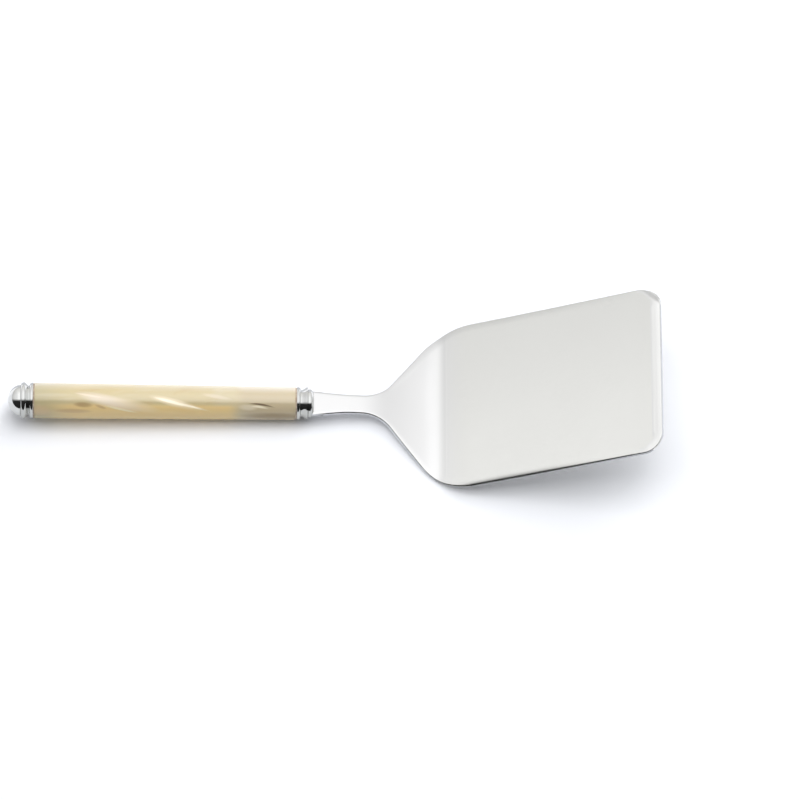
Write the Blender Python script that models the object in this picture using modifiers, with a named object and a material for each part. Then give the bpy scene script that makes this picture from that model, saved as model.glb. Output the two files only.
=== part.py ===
"""A lasagna server: a pressed steel blade carried by a resin sleeve between two turned collars.

The handle's pieces sit on one axis, along X, with the finial's nose at station zero. A tie rod
pinned to the blade's tang runs through the sleeve, and the finial screws onto it and clamps
the stack. The whole server then leans nose down, as it does when it lies on a table on its
front ferrule and its heel. Lengths are in metres and angles in degrees.
"""

import math

import bmesh
import bpy

# Clearance between two pieces that seat on, pass through or fit in one another
SEAT_GAP = 0.0003
# How far a cut runs past the face that it opens
CUT_OVERRUN = 0.0010

# The blade's sheet, measured flat from the foot, where the neck leaves the front ferrule
SHEET = 0.0018
EDGE_ROUND = 0.0003
TANG_LENGTH = 0.0220
TANG_WIDTH = 0.0060
FOOT_SLOPE_LENGTH = 0.0005
FOOT_WIDTH = 0.0114
NECK_WIDTH = 0.0091
NECK_TAPER_LENGTH = 0.0180
NECK_LENGTH = 0.0223
FLARE_RADIUS = 0.0165
SHOULDER_ANGLE = 52.0
HEEL_CORNER_RADIUS = 0.0305
HEEL_WIDTH = 0.0804
FRONT_WIDTH = 0.0812
FRONT_CORNER_RADIUS = 0.0090
BLADE_LENGTH = 0.1630
GROUND_WIDTH = 0.0033
GROUND_EDGE = 0.0011

# The blade's bends, as radii to the middle of the sheet
NECK_STRAIGHT = 0.0114
NECK_BEND_RADIUS = 0.1340
NECK_DROP_ANGLE = 9.2
SHOULDER_STRAIGHT = 0.0208
HEEL_BEND_RADIUS = 0.0090
PADDLE_RISE_ANGLE = 24.3

# The tie rod, its fork and the pin through fork and tang
ROD_RADIUS = 0.0025
ROD_END_CHAMFER = 0.0004
TANG_INSET = 0.0005
FORK_ROOT = 0.0030
FORK_EDGE_CHAMFER = 0.0005
FORK_FRONT_SPACE = 0.0010
PIN_RADIUS = 0.0010
PIN_END_ROUND = 0.0002
PIN_FROM_TANG_END = 0.0045

# The finial and the split lock washer that its spigot presses down
DOME_LENGTH = 0.00575
DOME_RADIUS = 0.0069
DOME_FOOT_ROUND = 0.0003
DOME_WALL = 0.0016
FINIAL_SPIGOT_LENGTH = 0.0020
FINIAL_SPIGOT_WALL = 0.0016
WASHER_THICKNESS = 0.0008
WASHER_SLIT = 0.0005

# The resin sleeve and the thin seals at its ends
SLEEVE_LENGTH = 0.11445
SLEEVE_REAR_RADIUS = 0.0078
SLEEVE_FRONT_RADIUS = 0.00715
SLEEVE_EDGE_ROUND = 0.0003
SEAL_THICKNESS = 0.0004
SEAL_RECESS = 0.0002

# Both collars: a ring against the sleeve, a valley, then a flare up to a crest
RING_PROUD = 0.0002
RING_LIP = 0.0005
RING_WIDTH = 0.0019
VALLEY_DEPTH = 0.0014
CREST_PROUD = 0.0001
COLLAR_SPIGOT_LENGTH = 0.0030
COLLAR_SPIGOT_WALL = 0.0018

# The rear collar, from its crest to the step round the dome
REAR_COLLAR_LENGTH = 0.0053
REAR_CREST_BACK = 0.0011
DOME_STEP = 0.0003
REAR_CREST_ROUND_SHARE = 1.0

# The front ferrule, from its crest down to a groove and on over the rounded nose
FRONT_FERRULE_LENGTH = 0.0077
CREST_DROP_LENGTH = 0.0005
GROOVE_DEPTH = 0.0002
NOSE_LENGTH = 0.0024
NOSE_ROUND_LENGTH = 0.0018
NOSE_OVER_FOOT = 0.0007
NOSE_FLAT_RADIUS = 0.0034
FOOT_POCKET_DEPTH = 0.0019
FRONT_CREST_ROUND_SHARE = 0.35

# How finely round shapes and the blade's blank are divided
ROUND_STEPS = 56
ROD_STEPS = 32
DOME_SEGMENTS = 12
ARC_SEGMENTS = 6
EDGE_SEGMENTS = 3
BEVEL_SEGMENTS = 2
FLAT_COLUMNS = 4
CORNER_COLUMNS = 5
TAPER_ROWS = 5
SHOULDER_ROWS = 5
NECK_BEND_ROWS = 4
HEEL_BEND_ROWS = 8
PADDLE_ROWS = 3
CLOSEST_ROW_SHARE = 0.25
GROUND_CORNER_SHARE = 0.25
CREST_POWER = 1.5

# Points closer than this are one point, and edges sharper than these are kept or rounded
MERGE_DISTANCE = 0.00001
SHARP_ANGLE = 35.0
BEVEL_ANGLE = 40.0

# Radii that follow from what sits inside or beside them
FORK_RADIUS = math.hypot(TANG_WIDTH, SHEET) / 2 + TANG_INSET
ROD_BORE_RADIUS = ROD_RADIUS + SEAT_GAP
FORK_BORE_RADIUS = FORK_RADIUS + SEAT_GAP
PIN_HOLE_RADIUS = PIN_RADIUS + SEAT_GAP
FINIAL_SPIGOT_RADIUS = ROD_BORE_RADIUS + FINIAL_SPIGOT_WALL
COLLAR_SPIGOT_RADIUS = ROD_BORE_RADIUS + COLLAR_SPIGOT_WALL
SPIGOT_POCKET_RADIUS = COLLAR_SPIGOT_RADIUS + SEAT_GAP
REAR_RING_RADIUS = SLEEVE_REAR_RADIUS + RING_PROUD
FRONT_RING_RADIUS = SLEEVE_FRONT_RADIUS + RING_PROUD
REAR_FACE_RADIUS = DOME_RADIUS + DOME_STEP
NOSE_RADIUS = FOOT_WIDTH / 2 + NOSE_OVER_FOOT

# Depths of the pockets and height of the slots, each from what goes into it
SPIGOT_POCKET_DEPTH = COLLAR_SPIGOT_LENGTH - SEAL_THICKNESS - SEAT_GAP
WASHER_POCKET_DEPTH = FINIAL_SPIGOT_LENGTH + WASHER_THICKNESS + SEAT_GAP
SHEET_SLOT_HEIGHT = SHEET + 2 * SEAT_GAP

# Stations along the handle's axis, from the finial's nose to the blade's foot
REAR_COLLAR_AT = DOME_LENGTH + SEAT_GAP
REAR_SEAL_AT = REAR_COLLAR_AT + REAR_COLLAR_LENGTH + SEAT_GAP
SLEEVE_AT = REAR_SEAL_AT + SEAL_THICKNESS + SEAT_GAP
FRONT_SEAL_AT = SLEEVE_AT + SLEEVE_LENGTH + SEAT_GAP
FRONT_FERRULE_AT = FRONT_SEAL_AT + SEAL_THICKNESS + SEAT_GAP
FERRULE_NOSE_AT = FRONT_FERRULE_AT + FRONT_FERRULE_LENGTH
FRONT_CREST_AT = FERRULE_NOSE_AT - NOSE_LENGTH - CREST_DROP_LENGTH
FOOT_AT = FERRULE_NOSE_AT - FOOT_POCKET_DEPTH + SEAT_GAP + FOOT_SLOPE_LENGTH
TANG_END_AT = FOOT_AT - FOOT_SLOPE_LENGTH - TANG_LENGTH
PIN_AT = TANG_END_AT + PIN_FROM_TANG_END
SLOT_ROOT_AT = TANG_END_AT - SEAT_GAP
FORK_AT = SLOT_ROOT_AT - FORK_ROOT
FORK_FRONT_AT = FRONT_FERRULE_AT - COLLAR_SPIGOT_LENGTH - FORK_FRONT_SPACE
ROD_AT = DOME_WALL + SEAT_GAP


def cleared_scene():
    """Removes every object that the scene opened with."""
    for obj in list(bpy.data.objects):
        bpy.data.objects.remove(obj, do_unlink=True)


def new_collection(name):
    collection = bpy.data.collections.new(name)
    bpy.context.scene.collection.children.link(collection)
    return collection


def new_material(name, colour, roughness, metallic):
    """A Principled material of one plain finish."""
    material = bpy.data.materials.new(name)
    material.use_nodes = True
    shader = material.node_tree.nodes["Principled BSDF"]
    shader.inputs["Base Color"].default_value = (*colour, 1.0)
    shader.inputs["Roughness"].default_value = roughness
    shader.inputs["Metallic"].default_value = metallic
    material.diffuse_color = (*colour, 1.0)
    return material


def arc(centre, radii, start, end, segments):
    """Points (x, y) on an ellipse about centre, from the start angle to the end angle."""
    points = []
    for step in range(segments + 1):
        angle = math.radians(start + (end - start) * step / segments)
        x = centre[0] + radii[0] * math.cos(angle)
        y = centre[1] + radii[1] * math.sin(angle)
        points.append((x, y))
    return points


def frozen(obj):
    """Replaces the object's mesh by what its modifiers make of it, and shades it smooth."""
    graph = bpy.context.evaluated_depsgraph_get()
    made = bpy.data.meshes.new_from_object(obj.evaluated_get(graph))
    made.name = obj.name
    for material in obj.data.materials:
        if material.name not in made.materials:
            made.materials.append(material)
    obj.modifiers.clear()
    obj.data = made
    made.shade_smooth()
    made.set_sharp_from_angle(angle=math.radians(SHARP_ANGLE))
    return obj


def turned(name, outline, material, home, frame, station, closed=True, steps=ROUND_STEPS):
    """A solid of revolution about the handle's axis.

    The outline holds (radius, height) points. Height runs towards the blade from the piece's
    own station, and the outline goes down the outer side and back up the bore.
    """
    mesh = bpy.data.meshes.new(name)
    last = len(outline) - 1
    edges = [(i, i + 1) for i in range(last)]
    if closed:
        edges.append((last, 0))
    mesh.from_pydata([(radius, 0, height) for radius, height in outline], edges, [])
    mesh.materials.append(material)
    obj = bpy.data.objects.new(name, mesh)
    home.objects.link(obj)
    screw = obj.modifiers.new("turn", "SCREW")
    screw.axis = "Z"
    screw.angle = 2 * math.pi
    screw.steps = steps
    screw.render_steps = steps
    screw.use_merge_vertices = True
    screw.merge_threshold = MERGE_DISTANCE
    frozen(obj)
    obj.parent = frame
    obj.location = (station, 0, 0)
    obj.rotation_euler = (0, math.pi / 2, 0)
    return obj


def block_cutter(name, size, centre, home, frame):
    """A box that cuts a slot, pocket or slit. Its size and centre are in the handle's frame."""
    mesh = bpy.data.meshes.new(name)
    shape = bmesh.new()
    bmesh.ops.create_cube(shape, size=size[0])
    stretch = (1, size[1] / size[0], size[2] / size[0])
    bmesh.ops.scale(shape, vec=stretch, verts=shape.verts)
    shape.to_mesh(mesh)
    shape.free()
    return as_cutter(name, mesh, centre, home, frame)


def pin_cutter(name, radius, length, centre, home, frame):
    """An upright cylinder that cuts a pin hole."""
    mesh = bpy.data.meshes.new(name)
    shape = bmesh.new()
    bmesh.ops.create_cone(
        shape, cap_ends=True, segments=ROD_STEPS, radius1=radius, radius2=radius, depth=length
    )
    shape.to_mesh(mesh)
    shape.free()
    return as_cutter(name, mesh, centre, home, frame)


def as_cutter(name, mesh, centre, home, frame):
    cutter = bpy.data.objects.new(name, mesh)
    home.objects.link(cutter)
    cutter.hide_render = True
    cutter.display_type = "WIRE"
    cutter.parent = frame
    cutter.location = centre
    return cutter


def cut(obj, cutter):
    modifier = obj.modifiers.new(cutter.name, "BOOLEAN")
    modifier.operation = "DIFFERENCE"
    modifier.solver = "EXACT"
    modifier.object = cutter


def half_width(along):
    """Half the blank's width at a distance along the flat sheet from the foot."""
    neck = NECK_WIDTH / 2
    foot = FOOT_WIDTH / 2
    tang = TANG_WIDTH / 2
    if along <= -FOOT_SLOPE_LENGTH:
        return tang
    if along <= 0:
        return foot + (foot - tang) * along / FOOT_SLOPE_LENGTH
    if along < NECK_TAPER_LENGTH:
        ease = (1 + math.cos(math.pi * along / NECK_TAPER_LENGTH)) / 2
        return neck + (foot - neck) * ease
    flare_end, corner_start, corner_end = shoulder_stations()
    slope = math.tan(math.radians(SHOULDER_ANGLE))
    if along <= NECK_LENGTH:
        return neck
    if along <= flare_end:
        reach = along - NECK_LENGTH
        return neck + FLARE_RADIUS - math.sqrt(FLARE_RADIUS**2 - reach**2)
    if along <= corner_start:
        return half_width(flare_end) + (along - flare_end) * slope
    if along < corner_end:
        reach = corner_end - along
        inset = HEEL_CORNER_RADIUS - math.sqrt(HEEL_CORNER_RADIUS**2 - reach**2)
        return HEEL_WIDTH / 2 - inset
    side = BLADE_LENGTH - FRONT_CORNER_RADIUS - corner_end
    widening = (FRONT_WIDTH - HEEL_WIDTH) / 2
    return HEEL_WIDTH / 2 + widening * (along - corner_end) / side


def shoulder_stations():
    """Where the flare ends and where the heel's rounded corner starts and ends, from the foot."""
    angle = math.radians(SHOULDER_ANGLE)
    flare_end = NECK_LENGTH + FLARE_RADIUS * math.sin(angle)
    flare_rise = NECK_WIDTH / 2 + FLARE_RADIUS * (1 - math.cos(angle))
    corner_rise = HEEL_WIDTH / 2 - HEEL_CORNER_RADIUS * (1 - math.cos(angle))
    corner_start = flare_end + (corner_rise - flare_rise) / math.tan(angle)
    corner_end = corner_start + HEEL_CORNER_RADIUS * math.sin(angle)
    return flare_end, corner_start, corner_end


def bend_line():
    """The sheet's middle line from the foot on, as (length, turn) runs; a turn is in radians."""
    drop = math.radians(NECK_DROP_ANGLE)
    lift = math.radians(NECK_DROP_ANGLE + PADDLE_RISE_ANGLE)
    return [
        (NECK_STRAIGHT, 0),
        (NECK_BEND_RADIUS * drop, -drop),
        (SHOULDER_STRAIGHT, 0),
        (HEEL_BEND_RADIUS * lift, lift),
    ]


def on_bend_line(along):
    """(x, z, slope) of the sheet's middle at a distance along it from the foot."""
    x, z, slope = FOOT_AT, 0, 0
    left = along
    for length, turn in bend_line():
        run = min(left, length)
        if turn:
            radius = length / turn
            angle = run / radius
            x += radius * (math.sin(slope + angle) - math.sin(slope))
            z -= radius * (math.cos(slope + angle) - math.cos(slope))
            slope += angle
        else:
            x += run * math.cos(slope)
            z += run * math.sin(slope)
        left -= run
        if left <= 0:
            return x, z, slope
    return x + left * math.cos(slope), z + left * math.sin(slope), slope


def blade_stations():
    """Distances from the foot at which the blank gets a row of points, up to the front corners."""
    flare_end, corner_start, corner_end = shoulder_stations()
    rows = [-FOOT_SLOPE_LENGTH - TANG_LENGTH, -FOOT_SLOPE_LENGTH, 0, NECK_LENGTH]
    rows += [NECK_TAPER_LENGTH * step / TAPER_ROWS for step in range(1, TAPER_ROWS)]
    for step in range(1, SHOULDER_ROWS + 1):
        angle = math.radians(SHOULDER_ANGLE * step / SHOULDER_ROWS)
        rows.append(NECK_LENGTH + FLARE_RADIUS * math.sin(angle))
        rows.append(corner_end - HEEL_CORNER_RADIUS * math.sin(angle))
    rows += [(flare_end + corner_start) / 2, corner_end]
    bend_start = 0
    for (length, turn), pieces in zip(bend_line(), (1, NECK_BEND_ROWS, 1, HEEL_BEND_ROWS)):
        rows += [bend_start + length * step / pieces for step in range(1, pieces + 1)]
        bend_start += length
    last = BLADE_LENGTH - FRONT_CORNER_RADIUS - GROUND_WIDTH
    paddle = last - corner_end
    rows += [corner_end + paddle * step / PADDLE_ROWS for step in range(1, PADDLE_ROWS + 1)]
    closest = SHEET * CLOSEST_ROW_SHARE
    kept = []
    for row in sorted(rows):
        if not kept or row - kept[-1] > closest:
            kept.append(row)
    return kept


def corner_angle(column):
    """The column's angle round the front corner: zero on the straight front, 90 at the side."""
    return math.radians(90 * max(column - FLAT_COLUMNS, 0) / CORNER_COLUMNS)


def column_offset(column, half):
    """How far from the middle a column lies where the blank is this half wide.

    On the paddle the columns meet the front edge at even angles of its corner. Towards the
    neck they draw in to even steps.
    """
    paddle = FRONT_WIDTH / 2
    straight = paddle - FRONT_CORNER_RADIUS
    at_front = straight * min(column, FLAT_COLUMNS) / FLAT_COLUMNS
    at_front += FRONT_CORNER_RADIUS * math.sin(corner_angle(column))
    even_share = column / (FLAT_COLUMNS + CORNER_COLUMNS)
    neck = min(TANG_WIDTH, NECK_WIDTH) / 2
    blend = (half - neck) / (paddle - neck)
    return half * ((1 - blend) * even_share + blend * at_front / paddle)


def blank_point(row, column, stations):
    """(distance from the foot, distance from the middle, ground share) of one point of the blank."""
    if row < len(stations):
        along = stations[row]
        return along, column_offset(column, half_width(along)), 0
    angle = corner_angle(column)
    front = BLADE_LENGTH - FRONT_CORNER_RADIUS * (1 - math.cos(angle))
    ground = math.sqrt(max(math.cos(angle), 0))
    across = column_offset(column, FRONT_WIDTH / 2)
    if row == len(stations):
        back = GROUND_WIDTH * (GROUND_CORNER_SHARE + (1 - GROUND_CORNER_SHARE) * ground)
        return front - back, across, 0
    return front, across, ground


def blade(home, cutters, frame, material):
    """The blade: a flat blank drawn to its outline, pressed to its bends and ground at the front.

    The surface is the sheet's underside. Half of it is shaped, mirrored and given its
    thickness, which falls away towards the ground edge.
    """
    stations = blade_stations()
    rows = len(stations) + 1
    columns = FLAT_COLUMNS + CORNER_COLUMNS
    bpy.ops.mesh.primitive_grid_add(
        x_subdivisions=rows, y_subdivisions=columns, size=BLADE_LENGTH
    )
    obj = bpy.context.object
    obj.name = "blade"
    obj.data.name = "blade"
    for other in list(obj.users_collection):
        other.objects.unlink(obj)
    home.objects.link(obj)
    full = obj.vertex_groups.new(name="full_thickness")
    for vertex in obj.data.vertices:
        row = round((vertex.co.x / BLADE_LENGTH + 0.5) * rows)
        column = round((vertex.co.y / BLADE_LENGTH + 0.5) * columns)
        along, across, ground = blank_point(row, column, stations)
        if along < 0:
            x, z, slope = FOOT_AT + along, 0, 0
        else:
            x, z, slope = on_bend_line(along)
        under = SHEET / 2
        vertex.co = (x + under * math.sin(slope), across, z - under * math.cos(slope))
        full.add([vertex.index], 1 - ground, "REPLACE")
    obj.data.materials.append(material)
    mirror = obj.modifiers.new("other_half", "MIRROR")
    mirror.use_axis = (False, True, False)
    mirror.merge_threshold = MERGE_DISTANCE
    sheet = obj.modifiers.new("sheet", "SOLIDIFY")
    sheet.thickness = SHEET
    sheet.offset = 1
    sheet.vertex_group = full.name
    sheet.thickness_vertex_group = GROUND_EDGE / SHEET
    rounded = obj.modifiers.new("edges", "BEVEL")
    rounded.width = EDGE_ROUND
    rounded.segments = BEVEL_SEGMENTS
    rounded.limit_method = "ANGLE"
    rounded.angle_limit = math.radians(BEVEL_ANGLE)
    frozen(obj)
    obj.parent = frame
    hole = pin_cutter(
        "tang_hole_cutter", PIN_HOLE_RADIUS, SHEET + 2 * CUT_OVERRUN, (PIN_AT, 0, 0), cutters, frame
    )
    cut(obj, hole)
    return obj


def collar_outline(ring_radius, face, crest_at, round_share):
    """The turned outer side that both collars share, from the sleeve face out to the crest.

    face and crest_at are heights. round_share is 1 for a round crest and 0 for a sharp one.
    """
    out = 1 if crest_at > face else -1
    points = []
    lip = arc((ring_radius - RING_LIP, RING_LIP), (RING_LIP, RING_LIP), -90, 0, EDGE_SEGMENTS)
    valley = ring_radius - VALLEY_DEPTH
    bead = arc((valley, RING_LIP), (VALLEY_DEPTH, RING_WIDTH - RING_LIP), 0, 90, ARC_SEGMENTS)
    for radius, height in lip + bead[1:]:
        points.append((radius, face + out * height))
    valley_at = face + out * RING_WIDTH
    crest = ring_radius + CREST_PROUD
    for step in range(1, ARC_SEGMENTS + 1):
        share = step / ARC_SEGMENTS
        round_rise = share * share * (3 - 2 * share)
        rise = round_share * round_rise + (1 - round_share) * share**CREST_POWER
        points.append((valley + (crest - valley) * rise, valley_at + (crest_at - valley_at) * share))
    return points


def finial(home, frame, material):
    """The domed cap nut that clamps the stack, with a blind bore for the rod's end."""
    top = DOME_LENGTH + FINIAL_SPIGOT_LENGTH
    outline = [(0, DOME_WALL), (ROD_BORE_RADIUS, DOME_WALL), (ROD_BORE_RADIUS, top)]
    outline += [(FINIAL_SPIGOT_RADIUS, top), (FINIAL_SPIGOT_RADIUS, DOME_LENGTH)]
    outline += [(DOME_RADIUS - DOME_FOOT_ROUND, DOME_LENGTH)]
    height = DOME_LENGTH - DOME_FOOT_ROUND
    outline += arc((0, height), (DOME_RADIUS, height), 0, -90, DOME_SEGMENTS)
    outline[-1] = (0, 0)
    return turned("finial", outline, material, home, frame, 0, closed=False)


def lock_washer(home, cutters, frame, material):
    """The split washer that the finial's spigot presses against the rear collar."""
    station = REAR_COLLAR_AT + FINIAL_SPIGOT_LENGTH
    outline = [
        (ROD_BORE_RADIUS, WASHER_THICKNESS),
        (FINIAL_SPIGOT_RADIUS, WASHER_THICKNESS),
        (FINIAL_SPIGOT_RADIUS, 0),
        (ROD_BORE_RADIUS, 0),
    ]
    obj = turned("lock_washer", outline, material, home, frame, station, steps=ROD_STEPS)
    slit = (WASHER_THICKNESS + 2 * CUT_OVERRUN, WASHER_SLIT, FINIAL_SPIGOT_RADIUS + CUT_OVERRUN)
    centre = (station + WASHER_THICKNESS / 2, 0, slit[2] / 2)
    cut(obj, block_cutter("washer_slit_cutter", slit, centre, cutters, frame))
    return obj


def rear_collar(home, frame, material):
    """The rear collar, bored for the rod, with a pocket for the finial's spigot and the washer."""
    face = REAR_COLLAR_LENGTH
    spigot_top = face + COLLAR_SPIGOT_LENGTH
    outline = [(ROD_BORE_RADIUS, spigot_top), (COLLAR_SPIGOT_RADIUS, spigot_top)]
    outline += [(COLLAR_SPIGOT_RADIUS, face)]
    outline += collar_outline(REAR_RING_RADIUS, face, REAR_CREST_BACK, REAR_CREST_ROUND_SHARE)
    drop = (REAR_RING_RADIUS + CREST_PROUD - REAR_FACE_RADIUS, REAR_CREST_BACK)
    outline += arc((REAR_FACE_RADIUS, REAR_CREST_BACK), drop, 0, -90, ARC_SEGMENTS)[1:]
    pocket = FINIAL_SPIGOT_RADIUS + SEAT_GAP
    outline += [(pocket, 0), (pocket, WASHER_POCKET_DEPTH), (ROD_BORE_RADIUS, WASHER_POCKET_DEPTH)]
    return turned("rear_collar", outline, material, home, frame, REAR_COLLAR_AT)


def seal(name, sleeve_radius, station, home, frame, material):
    """A thin ring between the sleeve's end and a collar, set back a little from the sleeve."""
    outer = sleeve_radius - SEAL_RECESS
    outline = [
        (SPIGOT_POCKET_RADIUS, SEAL_THICKNESS),
        (outer, SEAL_THICKNESS),
        (outer, 0),
        (SPIGOT_POCKET_RADIUS, 0),
    ]
    return turned(name, outline, material, home, frame, station)


def handle_sleeve(home, frame, material):
    """The tapered resin sleeve, bored for the rod and the fork, with a pocket at each end."""
    top = SLEEVE_LENGTH
    edge = SLEEVE_EDGE_ROUND
    fork_bore_start = FORK_AT - SEAT_GAP - SLEEVE_AT
    outline = [(SPIGOT_POCKET_RADIUS, top)]
    outline += arc((SLEEVE_FRONT_RADIUS - edge, top - edge), (edge, edge), 90, 0, EDGE_SEGMENTS)
    outline += arc((SLEEVE_REAR_RADIUS - edge, edge), (edge, edge), 0, -90, EDGE_SEGMENTS)
    outline += [
        (SPIGOT_POCKET_RADIUS, 0),
        (SPIGOT_POCKET_RADIUS, SPIGOT_POCKET_DEPTH),
        (ROD_BORE_RADIUS, SPIGOT_POCKET_DEPTH),
        (ROD_BORE_RADIUS, fork_bore_start),
        (FORK_BORE_RADIUS, fork_bore_start),
        (FORK_BORE_RADIUS, top - SPIGOT_POCKET_DEPTH),
        (SPIGOT_POCKET_RADIUS, top - SPIGOT_POCKET_DEPTH),
    ]
    return turned("handle_sleeve", outline, material, home, frame, SLEEVE_AT)


def front_ferrule(home, cutters, frame, material):
    """The front ferrule, slotted for the tang, with a pocket that hides the neck's foot."""
    nose = FRONT_FERRULE_LENGTH
    rounding = (NOSE_RADIUS - NOSE_FLAT_RADIUS, NOSE_ROUND_LENGTH)
    outline = [(0, nose)]
    outline += arc((NOSE_FLAT_RADIUS, nose - NOSE_ROUND_LENGTH), rounding, 90, 0, ARC_SEGMENTS)
    outline += [(NOSE_RADIUS - GROOVE_DEPTH, nose - NOSE_LENGTH)]
    crest_at = FRONT_CREST_AT - FRONT_FERRULE_AT
    ring_side = collar_outline(FRONT_RING_RADIUS, 0, crest_at, FRONT_CREST_ROUND_SHARE)
    outline += reversed(ring_side)
    outline += [
        (COLLAR_SPIGOT_RADIUS, 0),
        (COLLAR_SPIGOT_RADIUS, -COLLAR_SPIGOT_LENGTH),
        (0, -COLLAR_SPIGOT_LENGTH),
    ]
    obj = turned("front_ferrule", outline, material, home, frame, FRONT_FERRULE_AT, closed=False)
    back = FRONT_FERRULE_AT - COLLAR_SPIGOT_LENGTH - CUT_OVERRUN
    front = FERRULE_NOSE_AT + CUT_OVERRUN
    tang_slot = (front - back, TANG_WIDTH + 2 * SEAT_GAP, SHEET_SLOT_HEIGHT)
    middle = ((front + back) / 2, 0, 0)
    cut(obj, block_cutter("tang_slot_cutter", tang_slot, middle, cutters, frame))
    pocket_floor = FERRULE_NOSE_AT - FOOT_POCKET_DEPTH
    pocket = (front - pocket_floor, FOOT_WIDTH + 2 * SEAT_GAP, SHEET_SLOT_HEIGHT)
    middle = ((front + pocket_floor) / 2, 0, 0)
    cut(obj, block_cutter("foot_pocket_cutter", pocket, middle, cutters, frame))
    return obj


def tie_rod(home, cutters, frame, material):
    """The rod that pulls the stack together, with a fork at its front for the tang."""
    top = FORK_FRONT_AT - ROD_AT
    fork_foot = FORK_AT - ROD_AT
    outline = [
        (0, top),
        (FORK_RADIUS - FORK_EDGE_CHAMFER, top),
        (FORK_RADIUS, top - FORK_EDGE_CHAMFER),
        (FORK_RADIUS, fork_foot + FORK_EDGE_CHAMFER),
        (FORK_RADIUS - FORK_EDGE_CHAMFER, fork_foot),
        (ROD_RADIUS, fork_foot),
        (ROD_RADIUS, ROD_END_CHAMFER),
        (ROD_RADIUS - ROD_END_CHAMFER, 0),
        (0, 0),
    ]
    obj = turned(
        "tie_rod", outline, material, home, frame, ROD_AT, closed=False, steps=ROD_STEPS
    )
    front = FORK_FRONT_AT + CUT_OVERRUN
    slot = (front - SLOT_ROOT_AT, 2 * (FORK_RADIUS + CUT_OVERRUN), SHEET_SLOT_HEIGHT)
    middle = ((front + SLOT_ROOT_AT) / 2, 0, 0)
    cut(obj, block_cutter("fork_slot_cutter", slot, middle, cutters, frame))
    length = 2 * (FORK_RADIUS + CUT_OVERRUN)
    cut(obj, pin_cutter("fork_hole_cutter", PIN_HOLE_RADIUS, length, (PIN_AT, 0, 0), cutters, frame))
    return obj


def tang_pin(home, frame, material):
    """The cross pin through the fork and the tang, no longer than the fork is thick."""
    mesh = bpy.data.meshes.new("tang_pin")
    shape = bmesh.new()
    reach = math.sqrt(FORK_RADIUS**2 - PIN_RADIUS**2)
    bmesh.ops.create_cone(
        shape,
        cap_ends=True,
        segments=ROD_STEPS,
        radius1=PIN_RADIUS,
        radius2=PIN_RADIUS,
        depth=2 * reach,
    )
    shape.to_mesh(mesh)
    shape.free()
    mesh.materials.append(material)
    mesh.shade_smooth()
    mesh.set_sharp_from_angle(angle=math.radians(SHARP_ANGLE))
    obj = bpy.data.objects.new("tang_pin", mesh)
    home.objects.link(obj)
    rounded = obj.modifiers.new("ends", "BEVEL")
    rounded.width = PIN_END_ROUND
    rounded.segments = BEVEL_SEGMENTS
    rounded.limit_method = "ANGLE"
    rounded.angle_limit = math.radians(BEVEL_ANGLE)
    obj.parent = frame
    obj.location = (PIN_AT, 0, 0)
    return obj


def rest_angle():
    """How far the handle leans nose down when its front crest and its heel touch the table."""
    heel_start = sum(length for length, turn in bend_line()[:-1])
    x, z, slope = on_bend_line(heel_start)
    centre_x = x - HEEL_BEND_RADIUS * math.sin(slope)
    centre_z = z + HEEL_BEND_RADIUS * math.cos(slope)
    outside = HEEL_BEND_RADIUS + SHEET / 2
    run = centre_x - FRONT_CREST_AT
    rise = centre_z + FRONT_RING_RADIUS + CREST_PROUD
    return math.atan2(rise, run) - math.asin(outside / math.hypot(run, rise))


def lie_on_table(frame, parts):
    """Leans the frame to its rest angle and puts the origin under the middle of the server."""
    frame.rotation_euler = (0, rest_angle(), 0)
    bpy.context.view_layer.update()
    graph = bpy.context.evaluated_depsgraph_get()
    points = []
    for obj in parts:
        evaluated = obj.evaluated_get(graph)
        shape = evaluated.to_mesh()
        points += [evaluated.matrix_world @ vertex.co for vertex in shape.vertices]
        evaluated.to_mesh_clear()
    ends = [point.x for point in points]
    lowest = min(point.z for point in points)
    frame.location = (-(min(ends) + max(ends)) / 2, 0, -lowest)


def main():
    cleared_scene()
    home = new_collection("lasagna_server")
    cutters = new_collection("cutters")
    frame = bpy.data.objects.new("server_frame", None)
    home.objects.link(frame)

    sheet_steel = new_material("blade_steel", (0.62, 0.62, 0.60), 0.30, 1.0)
    rod_steel = new_material("rod_steel", (0.50, 0.50, 0.50), 0.35, 1.0)
    chrome = new_material("chrome", (0.80, 0.80, 0.80), 0.06, 1.0)
    resin = new_material("pearl_resin", (0.70, 0.57, 0.36), 0.25, 0.0)
    sealant = new_material("seal_rubber", (0.20, 0.13, 0.09), 0.60, 0.0)

    parts = [
        blade(home, cutters, frame, sheet_steel),
        tang_pin(home, frame, rod_steel),
        tie_rod(home, cutters, frame, rod_steel),
        front_ferrule(home, cutters, frame, chrome),
        seal("front_seal", SLEEVE_FRONT_RADIUS, FRONT_SEAL_AT, home, frame, sealant),
        handle_sleeve(home, frame, resin),
        seal("rear_seal", SLEEVE_REAR_RADIUS, REAR_SEAL_AT, home, frame, sealant),
        rear_collar(home, frame, chrome),
        lock_washer(home, cutters, frame, rod_steel),
        finial(home, frame, chrome),
    ]
    lie_on_table(frame, parts)


main()
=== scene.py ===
"""Studio view of a lasagna server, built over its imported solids.

The handle's pieces are turned about one axis, which the frame's two seals give. The blade is a
sheet that is drawn out row by row along its bends, thickened and ground at its front. Lengths are
in metres, angles in degrees, and tints are written as they look, from 0 to 255. A Range is
(low, high, bottom, top), as Wiring.spread takes it.
"""

import logging
import math
from collections.abc import Callable
from dataclasses import dataclass, field
from enum import Enum

import bpy
from mathutils import Matrix, Vector


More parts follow.
